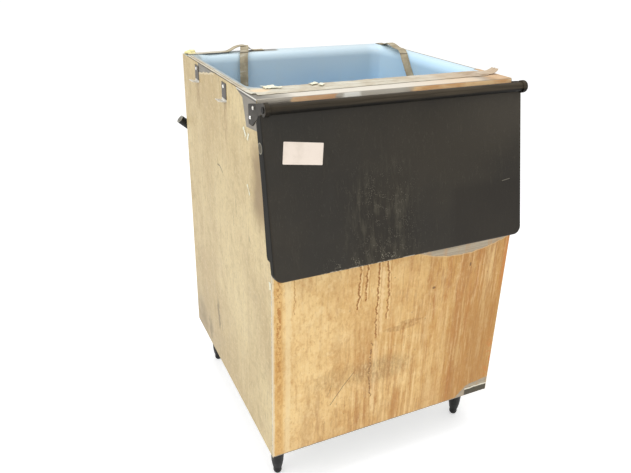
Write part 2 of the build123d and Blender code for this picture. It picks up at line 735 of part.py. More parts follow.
def door_panel_screws():
    """The screws that hold the inner panel in the door's foam."""
    return [
        door_plane(PANEL_BACK_N) * Pos(x, -s, 0) * Rot(180, 0, 0) * screw(DOOR_DEPTH / 2)
        for x, s in panel_screw_places()
    ]


def door_foam():
    """Foam between the door's skins, behind the roll's tail."""
    bottom = DOOR_BOTTOM
    core = door_void() & door_slab(DOOR_HALF_WIDTH, DOOR_TOP + 3, bottom, FACE_N, CORE_BACK_N)
    tail = door_slab(ROLL_HALF_LENGTH, DOOR_TOP - 10, ROLL_TAIL_LENGTH, SKIN_BACK_N + 1, SKIN_BACK_N - ROLL_TAIL)
    core = core - tail + plug(INNER_PANEL)
    return core - [door_plane(PANEL_BACK_N) * Pos(x, -s, 0) * Cylinder(SCREW_RADIUS + SCREW_HOLE_GAP, DOOR_DEPTH)
                   for x, s in panel_screw_places()]


def door_bumpers():
    """Rubber stops at the foot of the inner panel, just clear of the front panel."""
    z = SILL_Z - PANEL_OVER_SILL - BUMPER_RISE
    s = door_run(z, PANEL_BACK_N)
    y, _ = door_place(s, PANEL_BACK_N)
    reach = (slope_y(z, 0) - y) * math.cos(DOOR_TILT) - 2 * SEAT_GAP
    pads = []
    for x in (-INNER_X + BUMPER_INSET, INNER_X - BUMPER_INSET):
        pad = Cylinder(BUMPER_RADIUS, reach, align=(Align.CENTER, Align.CENTER, Align.MAX))
        pad = chamfer(pad.edges().group_by(Axis.Z)[0], 1.2)
        pads.append(door_plane(PANEL_BACK_N) * Pos(x, -s, 0) * pad)
    return pads


def lot_tag():
    """Paper tag stuck on the door's face, a little askew."""
    paper = Pos(TAG_X, -TAG_DOWN) * Rot(0, 0, TAG_TURN) * RectangleRounded(TAG_WIDTH, TAG_HEIGHT, 2)
    return extrude(door_plane(FACE_N) * paper, amount=TAG_PAPER)


def scoop_hook(y):
    """Bent strip hook on the left side, its tab turned out and a little up."""
    half = HOOK_SHEET / 2
    top = TOP_Z - HOOK_BELOW_TOP
    x = -SIDE_X - half
    low = top - HOOK_HEIGHT
    tilt = math.radians(HOOK_TILT)
    line = FilletPolyline(
        (x, top),
        (x, low),
        (x - HOOK_TAB * math.cos(tilt), low + HOOK_TAB * math.sin(tilt)),
        radius=BEND_RADIUS,
    )
    section = Plane.XZ.offset(-y - HOOK_WIDTH / 2) * trace(line, HOOK_SHEET)
    hook = extrude(section, amount=HOOK_WIDTH, dir=(0, -1, 0))
    ends = [e for e in hook.edges().group_by(Axis.X)[0] if abs(e.center().Y - y) > HOOK_WIDTH / 3]
    hook = fillet(ends, HOOK_WIDTH / 5) if ends else hook
    return hook - screw_holes([(-SIDE_X - 2 * HOOK_SHEET, y, HOOK_SCREW_Z)], (1, 0, 0), 3 * HOOK_SHEET)


def side_screws(seats, outward):
    """Screws in a side, their heads outwards."""
    return [Plane(origin=seat, z_dir=(outward, 0, 0)) * screw(SCREW_LENGTH) for seat in seats]


def leg(x, y):
    """Tapered leg with a mounting flange, a threaded stud and the foot's socket."""
    end = FOOT_HEIGHT
    profile = [
        (0, end),
        (LEG_END_RADIUS, end),
        (LEG_WAIST_RADIUS - 1, LEG_WAIST_HEIGHT - 6),
        (LEG_WAIST_RADIUS, LEG_WAIST_HEIGHT),
        (LEG_TOP_RADIUS, PAN_Z - LEG_FLANGE - 4),
        (LEG_FLANGE_RADIUS, PAN_Z - LEG_FLANGE),
        (LEG_FLANGE_RADIUS, PAN_Z),
        (STUD_RADIUS, PAN_Z),
        (STUD_RADIUS, PAN_Z + STUD_LENGTH),
        (0, PAN_Z + STUD_LENGTH),
    ]
    body = revolve(Plane.XZ * make_face(Polyline(*profile, close=True)), Axis.Z)
    socket = rod((0, 0, end - 1), (0, 0, 1), FOOT_STEM_RADIUS + RUNNING_GAP, FOOT_STEM_LENGTH + 5)
    return Pos(x, y, 0) * (body - socket)


def foot(x, y):
    """Bullet foot whose stem screws into the leg."""
    shoulder = FOOT_HEIGHT - SEAT_GAP
    nose = make_face(
        Polyline((0, 0), (FOOT_FLAT_RADIUS, 0))
        + ThreePointArc((FOOT_FLAT_RADIUS, 0), (FOOT_RADIUS * 0.89, shoulder * 0.2), (FOOT_RADIUS, shoulder * 0.5))
        + Polyline(
            (FOOT_RADIUS, shoulder * 0.5),
            (FOOT_RADIUS, shoulder),
            (FOOT_STEM_RADIUS, shoulder),
            (FOOT_STEM_RADIUS, shoulder + FOOT_STEM_LENGTH),
            (0, shoulder + FOOT_STEM_LENGTH),
            (0, 0),
        )
    )
    return Pos(x, y, 0) * revolve(Plane.XZ * nose, Axis.Z)


def leg_nut_plates():
    """Plates on the base pan that the leg studs screw into."""
    z = PAN_Z + SHEET
    size = NUT_PLATE_SIZE
    plates = []
    for x, y in LEG_PLACES.values():
        plate = Pos(x, y, z) * Box(size, size, NUT_PLATE, align=(Align.CENTER, Align.CENTER, Align.MIN))
        plates.append(plate - rod((x, y, z - 1), (0, 0, 1), STUD_RADIUS + RUNNING_GAP, NUT_PLATE + 2))
    return plates


def drain_fitting():
    """Flanged drain through the bin's floor, with its threaded tail under the base."""
    y = BACK_Y - DRAIN_FROM_BACK
    tail = BASE_Z - DRAIN_THREAD
    tube = rod((DRAIN_X, y, tail), (0, 0, 1), DRAIN_TUBE, FLOOR_Z - tail)
    flange = rod((DRAIN_X, y, FLOOR_Z), (0, 0, 1), DRAIN_FLANGE_RADIUS, DRAIN_FLANGE)
    flange = chamfer(flange.edges().group_by(Axis.Z)[-1], DRAIN_FLANGE * 0.6)
    bore = rod((DRAIN_X, y, tail - 1), (0, 0, 1), DRAIN_BORE, FLOOR_DEPTH + 2 * DRAIN_THREAD)
    return tube + flange - bore


def drain_nut():
    """Hexagonal lock nut under the base pan."""
    hexagon = RegularPolygon(DRAIN_NUT_FLATS / 2, 6, major_radius=False) - Circle(DRAIN_TUBE + RUNNING_GAP)
    place = Pos(DRAIN_X, BACK_Y - DRAIN_FROM_BACK, PAN_Z - DRAIN_NUT)
    return place * extrude(hexagon, amount=DRAIN_NUT)


def drain_pipe():
    """Rigid pipe from the fitting, under the base and up behind the back, with a hose spigot."""
    y = BACK_Y - DRAIN_FROM_BACK
    top = BASE_Z - DRAIN_THREAD
    low = BASE_Z - PIPE_DROP
    end = BASE_Z + PIPE_RISE
    path = FilletPolyline(
        (DRAIN_X, y, top), (DRAIN_X, y, low), (DRAIN_X, HOSE_Y, low), (DRAIN_X, HOSE_Y, end), radius=PIPE_BEND
    )
    ring = Plane(origin=(DRAIN_X, y, top), z_dir=(0, 0, -1)) * (Circle(DRAIN_TUBE) - Circle(DRAIN_BORE))
    pipe = sweep(ring, path=path)
    spigot = rod((DRAIN_X, HOSE_Y, end), (0, 0, 1), SPIGOT_RADIUS, SPIGOT_LENGTH)
    return pipe + (spigot - rod((DRAIN_X, HOSE_Y, end - 1), (0, 0, 1), SPIGOT_BORE, SPIGOT_LENGTH + 2))


def hose_points():
    """The hose's route points in space."""
    start = (DRAIN_X, HOSE_Y, BASE_Z + PIPE_RISE)
    return [start] + [(inwards - SIDE_X, HOSE_Y, BASE_Z + height) for inwards, height in HOSE_ROUTE]


def hose_radii(points):
    """One bend radius for each corner, as large as its two runs allow."""
    radii = []
    for a, b, c in zip(points, points[1:], points[2:]):
        first = Vector(*b) - Vector(*a)
        second = Vector(*c) - Vector(*b)
        turn = math.radians(first.get_angle(second))
        radii.append(0.45 * min(first.length, second.length) / math.tan(turn / 2))
    return radii


def drain_hose():
    """Drain hose up the back, its open mouth past the left edge."""
    points = hose_points()
    radii = hose_radii(points)
    path = FilletPolyline(*points, radius=radii)
    ring = Plane(origin=points[0], z_dir=(0, 0, 1)) * (Circle(HOSE_RADIUS) - Circle(HOSE_BORE))
    hose = sweep(ring, path=path)
    expected = math.pi * (HOSE_RADIUS**2 - HOSE_BORE**2) * path.length
    print("hose length", round(path.length), "bend radii", [round(r) for r in radii])
    print("hose volume over section times length", round(hose.volume / expected, 4))
    return hose


def hose_clamp():
    """Worm drive band round the hose over the pipe's spigot."""
    z = BASE_Z + PIPE_RISE + SPIGOT_LENGTH / 2 - CLAMP_WIDTH / 2
    inner = HOSE_RADIUS + RUNNING_GAP
    band = extrude(Circle(inner + CLAMP_BAND) - Circle(inner), amount=CLAMP_WIDTH)
    housing = Pos(inner + CLAMP_BAND + 3, 0, CLAMP_WIDTH / 2) * Box(7, 15, CLAMP_WIDTH - 1)
    housing -= extrude(Circle(inner + CLAMP_BAND / 2), amount=CLAMP_WIDTH)
    worm = Pos(inner + CLAMP_BAND + 3.5, 0, CLAMP_WIDTH / 2) * Rot(90, 0, 0) * Cylinder(3.2, 22)
    return Pos(DRAIN_X, HOSE_Y, z) * (band + housing + worm)


def clip_places():
    """Middle and direction of each hose run that a clip holds."""
    points = [Vector(*p) for p in hose_points()]
    return [((a + b) / 2, (b - a).normalized()) for a, b in zip(points[1:], points[2:])]


def clip_screw_seats():
    """Where each clip's screw sits, on the clip's foot beside the hose."""
    reach = HOSE_RADIUS + CLIP_BAND + CLIP_FOOT / 2
    seats = []
    for middle, along in clip_places():
        side = Vector(-along.Z, 0, along.X)
        seat = middle + side * reach
        seats.append((seat.X, BACK_Y + CLIP_BAND, seat.Z))
    return seats


def hose_clips():
    """Strap clips that hold the hose off the back panel."""
    inner = HOSE_RADIUS + RUNNING_GAP
    outer = inner + CLIP_BAND
    clips = []
    for (middle, along), seat in zip(clip_places(), clip_screw_seats()):
        side = Vector(-along.Z, 0, along.X)
        frame = Plane(origin=middle - along * (CLIP_WIDTH / 2), x_dir=side, z_dir=along)
        depth = HOSE_STAND_OFF * (1 if frame.y_dir.Y < 0 else -1)
        top = depth - math.copysign(CLIP_BAND, depth)
        leg_x = outer - CLIP_BAND
        leg_side = Pos((leg_x + outer) / 2, depth / 2) * Rectangle(outer - leg_x, abs(depth))
        reach = outer + CLIP_FOOT
        foot_bar = Pos((leg_x + reach) / 2, (depth + top) / 2) * Rectangle(reach - leg_x, CLIP_BAND)
        outline = Circle(outer) + leg_side + foot_bar - Circle(inner)
        clip = extrude(frame * outline, amount=CLIP_WIDTH)
        clips.append(clip - rod((seat[0], seat[1] + 1, seat[2]), (0, -1, 0), SCREW_RADIUS + SCREW_HOLE_GAP, 3))
    return clips


def rear_screws(seats, length):
    """Screws with their heads to the rear."""
    return [Plane(origin=seat, z_dir=(0, 1, 0)) * screw(length) for seat in seats]


def build():
    """Every sub-part by name, with the bin centred on X = 0."""
    parts = {}
    parts["left_side_panel"] = side_panel_left()
    parts["right_side_panel"] = side_panel_right()
    parts["front_panel"] = front_panel()
    clip_holes = screw_holes([(x, BACK_Y, z) for x, _, z in clip_screw_seats()], (0, -1, 0), 3 * SHEET)
    parts["back_panel"] = back_panel() - clip_holes
    parts["base_pan"] = base_pan()
    parts["front_header"] = front_header()
    parts["door_frame_trim"] = door_frame_trim()

    header = parts["front_header"]
    foam = lined_block(LINER_WALL)
    liner = lined_block(0) - foam - header - drain_hole(DRAIN_TUBE + RUNNING_GAP)
    parts["bin_liner"] = liner

    pockets = [header, parts["left_side_panel"], parts["right_side_panel"], parts["front_panel"]]
    pockets.append(pan_space(0) - pan_space(SHEET))
    pockets.append(block(-INNER_X, INNER_X, BACK_Y - 2 * SHEET, BACK_Y - SHEET, PAN_Z, PAN_Z + BASE_RIM))
    pockets += leg_nut_plates() + [drain_hole(DRAIN_TUBE + RUNNING_GAP)]
    stud_room = STUD_LENGTH + SHEET
    for x, y in LEG_PLACES.values():
        pockets.append(rod((x, y, PAN_Z), (0, 0, 1), STUD_RADIUS + 1, stud_room))
    screw_room = SCREW_LENGTH + 2
    for seats, direction in (
        (bracket_seats(SIDE_X), (-1, 0, 0)),
        ([(-x, y, z) for x, y, z in bracket_seats(SIDE_X)], (1, 0, 0)),
        (hook_seats(-SIDE_X), (1, 0, 0)),
        (back_seats(), (0, -1, 0)),
        ([(x, BACK_Y, z) for x, _, z in clip_screw_seats()], (0, -1, 0)),
    ):
        pockets += screw_holes(seats, direction, screw_room)
    parts.update(foam_blocks(foam - pockets))

    parts["rim_gasket_left"] = rim_gasket_left()
    parts["rim_gasket_front"] = rim_gasket_front()
    parts["rim_gasket_back_left"] = rim_gasket_back_left()
    parts["rim_gasket_right"] = rim_gasket_right()

    for name, maker in (("hinge_bracket", hinge_bracket_right), ("hinge_pin", hinge_pin_right),
                        ("roll_bush", roll_bush_right)):
        right = maker()
        parts[name + "_right"] = right
        parts[name + "_left"] = other_side(right)
    right_seats = bracket_seats(EAR_FACE_X)
    left_seats = [(-x, y, z) for x, y, z in right_seats]
    parts["hinge_bracket_screws"] = side_screws(right_seats, 1) + side_screws(left_seats, -1)
    parts["hinge_roll"] = hinge_roll()
    parts["door_skin"] = door_skin()
    parts["door_foam"] = door_foam()
    parts["door_inner_panel"] = door_inner_panel()
    parts["door_panel_screws"] = door_panel_screws()
    parts["door_bumpers"] = door_bumpers()
    parts["lot_tag"] = lot_tag()

    parts["scoop_hook_rear"] = scoop_hook(HOOK_REAR_Y)
    parts["scoop_hook_front"] = scoop_hook(HOOK_FRONT_Y)
    parts["scoop_hook_screws"] = side_screws(hook_seats(-SIDE_X - HOOK_SHEET), -1)

    parts["drain_fitting"] = drain_fitting()
    parts["drain_nut"] = drain_nut()
    parts["drain_pipe"] = drain_pipe()
    parts["drain_hose"] = drain_hose()
    parts["hose_clamp"] = hose_clamp()
    parts["hose_clips"] = hose_clips()
    parts["hose_clip_screws"] = rear_screws(clip_screw_seats(), SCREW_LENGTH)
    parts["back_panel_screws"] = rear_screws(back_seats(), SCREW_LENGTH)

    parts["leg_nut_plates"] = leg_nut_plates()
    for place, (x, y) in LEG_PLACES.items():
        parts["leg_" + place] = leg(x, y)
        parts["foot_" + place] = foot(x, y)
    return parts


def as_shape(piece):
    """One shape for a piece or a group of separate pieces."""
    return Compound(children=piece) if isinstance(piece, list) else piece


def main():
    os.makedirs("parts", exist_ok=True)
    parts = {name: as_shape(piece) for name, piece in build().items()}
    boxes = [shape.bounding_box() for shape in parts.values()]
    middle_x = (min(b.min.X for b in boxes) + max(b.max.X for b in boxes)) / 2
    middle_y = (min(b.min.Y for b in boxes) + max(b.max.Y for b in boxes)) / 2
    print("bin centre from the origin", round(-middle_x, 3), round(-middle_y, 3))
    for name, shape in parts.items():
        export_step(Pos(-middle_x, -middle_y, 0) * shape, f"parts/{name}.step")


main()
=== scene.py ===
import math

import bmesh
import bpy
from mathutils import Matrix, Vector, noise
from mathutils.geometry import interpolate_bezier


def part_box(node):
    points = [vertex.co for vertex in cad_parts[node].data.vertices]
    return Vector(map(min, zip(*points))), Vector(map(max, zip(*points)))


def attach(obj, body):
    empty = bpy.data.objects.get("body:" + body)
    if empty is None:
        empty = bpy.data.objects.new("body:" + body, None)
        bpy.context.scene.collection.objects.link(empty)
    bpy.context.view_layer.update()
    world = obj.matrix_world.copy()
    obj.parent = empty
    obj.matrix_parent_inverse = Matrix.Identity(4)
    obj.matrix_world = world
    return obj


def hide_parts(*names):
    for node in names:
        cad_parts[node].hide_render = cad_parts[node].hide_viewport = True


# Ice storage bin whose sheet steel still carries its aged protective film.
# Metres, in the frame of the CAD model. place() takes millimetres from the bin's own centre.
# Masks in the finishes are set out in metres too: x and y from the bin's centre, z above the floor.

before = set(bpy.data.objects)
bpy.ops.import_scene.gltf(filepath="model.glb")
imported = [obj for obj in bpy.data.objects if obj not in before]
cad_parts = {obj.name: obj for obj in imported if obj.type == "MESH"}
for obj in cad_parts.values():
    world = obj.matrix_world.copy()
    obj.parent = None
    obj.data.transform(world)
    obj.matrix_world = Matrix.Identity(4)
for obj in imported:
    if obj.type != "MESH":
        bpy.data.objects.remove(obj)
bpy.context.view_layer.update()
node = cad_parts

LEFT_LOW, LEFT_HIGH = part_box("left_side_panel")
CENTRE_X = (LEFT_LOW.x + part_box("right_side_panel")[1].x) / 2
CENTRE_Y = (LEFT_LOW.y + LEFT_HIGH.y) / 2
FRONT = LEFT_LOW.y - CENTRE_Y
RIM = LEFT_HIGH.z
# The height at which the front leans back, and how far it leans for each metre above that
KNEE = 0.777
SLOPE = 0.2304

# The photograph's viewpoint, found from the cabinet's straight edges: degrees, and lens in millimetres
CAMERA_PLACE = (-870.11, -1657.49, 1509.11)
CAMERA_TURNS = (("Z", -24.933), ("X", 90 - 23.540), ("Z", 1.065))
CAMERA_LENS = 35.312
CAMERA_SENSOR = 36.0
CAMERA_SHIFT = (0.01143, -0.03665)

# Lamps: name, place, size and power in watts. All face the middle of the cabinet.
LAMPS = [
    ("key_lamp", (-2.8, -0.9, 3.3), 2.4, 44.0),
    ("top_lamp", (0.0, 0.0, 3.6), 2.0, 34.0),
    ("fill_lamp", (0.6, -3.6, 0.7), 2.4, 22.0),
]
LAMP_TARGET = Vector((0, 0, 0.6))
FLOOR_SIZE = 30.0
FLOOR_GREY = (0.86, 0.86, 0.86, 1.0)
FLOOR_GLOW = 0.45
WORLD_LIGHT = 0.7
WORLD_SEEN_EXTRA = 0.3

# Gasket strips: centre lines in millimetres from the bin's centre, heights above the rim.
# The widths, thickness and steps that follow are in metres.
LEFT_TAPE = [(-372, 336, 0), (-372, 200, 0.2), (-372, 20, 0), (-372, -150, 0.2), (-372, -185, 1.1),
             (-371, -225, 1.1), (-366, -252, 1.2)]
FRONT_TAPE = [(-363, -230, 1), (-250, -231, 1.2), (-120, -229, 1), (0, -227, 1.3), (120, -225, 1),
              (240, -224, 1.4), (300, -223, 1.6), (344, -224, 1.2)]
FRONT_CURL = [(322, -226, 2.5), (342, -230, 3.0), (360, -233, 4.5), (372, -233, 9), (381, -233, 15)]
BACK_STRIP = [(-372, 375, 0), (-340, 375, 0.3), (-285, 376, 1), (-250, 378, 1.2), (-233, 378, 2.2),
              (-219, 379, 7.5), (-206, 380, 13.5), (-192, 382, 17), (-174, 384, 18),
              (-161, 385, 12.5), (-148, 386, 3), (-130, 386, 0.3), (-103, 386, 0)]
BACK_TAIL = [(-174, 390, 16), (-174, 378, 17), (-180, 360, 9), (-187, 346, -12), (-191, 336, -46),
             (-193, 330, -88), (-195, 325, -137)]
RIGHT_TAIL = [(361, 392, 0), (360, 376, 0), (360, 354, 1.5), (357, 321, 9), (350, 292, 14), (340, 238, 8),
              (326, 178, 7), (316, 138, -19), (316, 121, -41), (316, 104, -63), (316, 89, -88)]
LEFT_WIDTH, FRONT_WIDTH, CURL_WIDTH, BACK_WIDTH = 0.016, 0.076, 0.044, 0.028
TAPE_THICKNESS = 0.003
TAPE_COLUMN = 0.004
TAPE_STEPS = 14
TAPE_CROWN = 0.3
TORN_DEPTH = 0.004

# The drain hose: its route in millimetres, as in the CAD model, and its tube
HOSE_ROUTE = [(60, 418, 197), (60, 418, 360), (-30, 418, 590), (-160, 418, 745), (-399.7, 418, 949)]
HOSE_DIAMETER = 0.028
HOSE_BORE = 0.0202
HOSE_STEPS = 20
HOSE_SIDES = 28
# Its open end, to the left and up, and the way it heads there
HOSE_REACH, HOSE_TOP = 0.3997, 0.949
HOSE_LEFTWARD, HOSE_UPWARD = -0.7615, 0.648

# Scraps of film: place and size in millimetres, turn in degrees, and whether the scrap is on the side
SCRAPS = [
    ((-311, -208, 1178.0), (40, 34), 5, False),
    ((-290, -218, 1178.4), (20, 14), -24, False),
    ((-188, -206, 1178.0), (30, 18), 24, False),
    ((-172, -222, 1178.0), (28, 14), 50, False),
    ((-381.6, -218, 1072), (30, 11), 40, True),
    ((-381.6, -243, 1066), (24, 9), -25, True),
    ((-381.6, -238, 922), (34, 6), 38, True),
    ((-382.0, -388, 716), (22, 14), 10, True),
]
SCRAP_THICKNESS = 0.0003

# The lump of foam: its centre in millimetres and its half sizes in metres
LUMP_CENTRE = (-357, 382, 1174)
LUMP_SIZE = (0.019, 0.0115, 0.011)

# Marks on the left side: their points as (along, up), half width and strength
SIDE_MARKS = [
    ([(0.042, 0.903), (0.018, 0.905), (-0.004, 0.893)], 0.0032, 1.0),
    ([(-0.118, 0.872), (-0.126, 0.80)], 0.0020, 0.6),
    ([(-0.094, 0.812), (-0.098, 0.76)], 0.0018, 0.5),
    ([(-0.229, 0.783), (-0.232, 0.770)], 0.0030, 1.0),
    ([(0.074, 0.335), (0.070, 0.295)], 0.0026, 0.8),
    ([(0.214, 0.196), (0.214, 0.172)], 0.0030, 0.8),
]

# Pale runs down the front, likewise, and dark water runs, as (across, up) points
PALE_RUNS = [
    ([(-0.055, 0.70), (-0.052, 0.50)], 0.0095, 1.0),
    ([(-0.062, 0.46), (-0.060, 0.22)], 0.0100, 0.9),
]
WATER_RUNS = [
    [(-0.125, 0.735), (-0.124, 0.680), (-0.127, 0.620), (-0.130, 0.590)],
    [(-0.104, 0.730), (-0.105, 0.661), (-0.104, 0.612)],
    [(-0.067, 0.725), (-0.066, 0.620), (-0.068, 0.540), (-0.063, 0.480)],
    [(-0.039, 0.720), (-0.034, 0.640), (-0.030, 0.575), (-0.033, 0.535)],
]

# Sockets of a colour Mix node: factor, first and second colour, and the result
MIX_INPUTS = (0, 6, 7)
MIX_OUTPUT = 2
SHARP_EDGE = math.radians(40)
LEGS_AND_FEET = [f"{part}_{end}_{side}" for part in ("leg", "foot") for end in ("front", "rear")
                 for side in ("left", "right")]


def place(x, y, z):
    """A point given from the bin's centre, in millimetres, in the frame's metres."""
    return Vector((x / 1000 + CENTRE_X, y / 1000 + CENTRE_Y, z / 1000))


def srgb(red, green, blue):
    """A colour given 0 to 255, as the linear colour that a shader takes."""
    out = []
    for channel in (red, green, blue):
        c = channel / 255
        out.append(c / 12.92 if c <= 0.04045 else ((c + 0.055) / 1.055) ** 2.4)
    return (*out, 1.0)


class Socket:
    """A shader socket on which arithmetic adds Math nodes."""

    def __init__(self, finish, output):
        self.finish = finish
        self.output = output

    def math(self, operation, *values):
        return self.finish.add("Math", {"operation": operation}, *values)

    def __add__(self, other):
        return self.math("ADD", self, other)

    def __radd__(self, other):
        return self.math("ADD", other, self)

    def __sub__(self, other):
        return self.math("SUBTRACT", self, other)

    def __rsub__(self, other):
        return self.math("SUBTRACT", other, self)

    def __mul__(self, other):
        return self.math("MULTIPLY", self, other)

    def __truediv__(self, other):
        return self.math("DIVIDE", self, other)

    def __abs__(self):
        return self.math("ABSOLUTE", self)

    def root(self):
        return self.math("SQRT", self)

    def most(self, other):
        return self.math("MAXIMUM", self, other)

    def least(self, other):
        return self.math("MINIMUM", self, other)

    def step(self, low, high):
        """0 below low, 1 above high, smooth between; low may be the larger."""
        return self.finish.add("MapRange", {"interpolation_type": "SMOOTHSTEP"}, self, low, high, 0.0, 1.0)

    def band(self, low, high, soft):
        """1 between low and high, fading over soft on each side."""
        return self.step(low - soft, low + soft) * self.step(high + soft, high - soft)


class Finish:
    """A material whose nodes are added one by one, with the colour painted on it so far."""

    def __init__(self, name, **shader):
        self.material = bpy.data.materials.new(name)
        self.material.use_nodes = True
        self.tree = self.material.node_tree
        self.shader = self.tree.nodes["Principled BSDF"]
        for socket, value in shader.items():
            self.shader.inputs[socket.replace("_", " ")].default_value = value
        self.coordinates = None
        self.colour = None

    def add(self, kind, settings=None, *values, out=0, **named):
        """Adds one node: its settings first, then the values or links of its sockets."""
        made = self.tree.nodes.new("ShaderNode" + kind)
        for key, value in (settings or {}).items():
            setattr(made, key, value)
        for key, value in list(enumerate(values)) + list(named.items()):
            socket = made.inputs[key.replace("_", " ") if isinstance(key, str) else key]
            if isinstance(value, Socket):
                self.tree.links.new(value.output, socket)
            elif value is not None:
                socket.default_value = value
        return Socket(self, made.outputs[out])

    def feed(self, **sockets):
        """Links values to the shader's sockets."""
        for socket, value in sockets.items():
            self.tree.links.new(value.output, self.shader.inputs[socket.replace("_", " ")])

    def point(self):
        """The point on the object, as a vector."""
        if self.coordinates is None:
            self.coordinates = self.add("TexCoord", out="Object")
        return self.coordinates

    def axes(self):
        """X, Y and Z from the bin's centre, in metres."""
        moved = self.add("VectorMath", {"operation": "SUBTRACT"}, self.point(), (CENTRE_X, CENTRE_Y, 0.0))
        made = self.tree.nodes.new("ShaderNodeSeparateXYZ")
        self.tree.links.new(moved.output, made.inputs[0])
        return [Socket(self, made.outputs[i]) for i in range(3)]

    def stretched(self, x, y, z):
        """The point with its axes scaled."""
        return self.add("VectorMath", {"operation": "MULTIPLY"}, self.point(), (x, y, z))

    def noise(self, scale=1.0, detail=3.0, roughness=0.55, at=None):
        """A cloudy pattern around 0.5."""
        return self.add("TexNoise", None, Vector=at or self.point(), Scale=scale, Detail=detail,
                        Roughness=roughness)

    def grain(self, x, y, z, detail=3.0, roughness=0.55):
        """A pattern whose fineness differs by axis: streaks, runs and brushing."""
        return self.noise(1.0, detail, roughness, self.stretched(x, y, z))

    def cells(self, scale, at=None, out="Distance"):
        """Scattered cells: the distance to the nearest point, or its colour."""
        return self.add("TexVoronoi", None, Vector=at or self.point(), Scale=scale, out=out)

    def tint(self, factor, first, second):
        """A colour between two, by a factor. A fixed colour is three channels, 0 to 255."""
        made = self.tree.nodes.new("ShaderNodeMix")
        made.data_type = "RGBA"
        for key, value in zip(MIX_INPUTS, (factor, first, second)):
            if isinstance(value, Socket):
                self.tree.links.new(value.output, made.inputs[key])
            else:
                made.inputs[key].default_value = srgb(*value) if isinstance(value, tuple) else value
        return Socket(self, made.outputs[MIX_OUTPUT])

    def base(self, factor, first, second):
        """Starts the colour with a blend of two."""
        self.colour = self.tint(factor, first, second)

    def paint(self, amount, coat):
        """Lays a coat of another colour over the colour so far."""
        self.colour = self.tint(amount, self.colour, coat)

    def bump(self, height, strength, distance):
        """A normal from a height."""
        return self.add("Bump", None, Strength=strength, Distance=distance, Height=height)

    def spot(self, across, up, middle, size, soft=0.5):
        """1 inside an ellipse, fading towards its edge."""
        a = (across - middle[0]) / size[0]
        b = (up - middle[1]) / size[1]
        return (a * a + b * b).step(1.0, 1.0 - soft)

    def stroke(self, across, up, points, width):
        """1 on a line through points, 0 beyond its half width."""
        nearest = None
        for (a0, b0), (a1, b1) in zip(points, points[1:]):
            run, rise = a1 - a0, b1 - b0
            square = run * run + rise * rise
            from_a, from_b = across - a0, up - b0
            along = ((from_a * run + from_b * rise) / square).least(1.0).most(0.0)
            off_a, off_b = from_a - along * run, from_b - along * rise
            away = (off_a * off_a + off_b * off_b).root()
            nearest = away if nearest is None else nearest.least(away)
        return nearest.step(width, width * 0.4)

    def strokes(self, across, up, rows):
        """The strongest of several strokes: rows of points, half width and strength."""
        found = None
        for points, width, strength in rows:
            line = self.stroke(across, up, points, width)
            line = line if strength == 1.0 else line * strength
            found = line if found is None else found.most(line)
        return found

    def cover(self, *names):
        """Gives this finish to CAD nodes."""
        for name in names:
            data = node[name].data
            data.materials.clear()
            data.materials.append(self.material)


def add_object(name, data):
    """A new object in the scene."""
    made = bpy.data.objects.new(name, data)
    bpy.context.scene.collection.objects.link(made)
    return made


def camera():
    """The camera at the photograph's viewpoint."""
    view = bpy.data.cameras.new("photo_camera")
    view.sensor_width = CAMERA_SENSOR
    view.lens = CAMERA_LENS
    view.shift_x, view.shift_y = CAMERA_SHIFT
    made = add_object("photo_camera", view)
    seat = Matrix.Translation(place(*CAMERA_PLACE))
    for axis, angle in CAMERA_TURNS:
        seat = seat @ Matrix.Rotation(math.radians(angle), 4, axis)
    made.matrix_world = seat
    bpy.context.scene.camera = made


def piece(shape, name, finish, stands_for=()):
    """Makes an object on the cabinet from a bmesh, with its finish, and hides the CAD parts that it stands
    for.
    """
    bmesh.ops.recalc_face_normals(shape, faces=shape.faces)
    mesh = bpy.data.meshes.new(name)
    shape.to_mesh(mesh)
    shape.free()
    mesh.materials.append(finish.material)
    mesh.shade_smooth()
    mesh.set_sharp_from_angle(angle=SHARP_EDGE)
    made = add_object(name, mesh)
    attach(made, "cabinet")
    if stands_for:
        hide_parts(*stands_for)
    return made


def through(points):
    """Points along a smooth line through all the given ones."""
    line = [points[0]]
    for i in range(len(points) - 1):
        before, start = points[max(i - 1, 0)], points[i]
        end, after = points[i + 1], points[min(i + 2, len(points) - 1)]
        leave, arrive = start + (end - before) / 6, end - (after - start) / 6
        line += interpolate_bezier(start, leave, arrive, end, TAPE_STEPS + 1)[1:]
    return line


def unique(items):
    """The items in their order, without repeats."""
    return list(dict.fromkeys(items))


def heading(line, i):
    """The way a line of points runs at one of them."""
    return line[min(i + 1, len(line) - 1)] - line[max(i - 1, 0)]


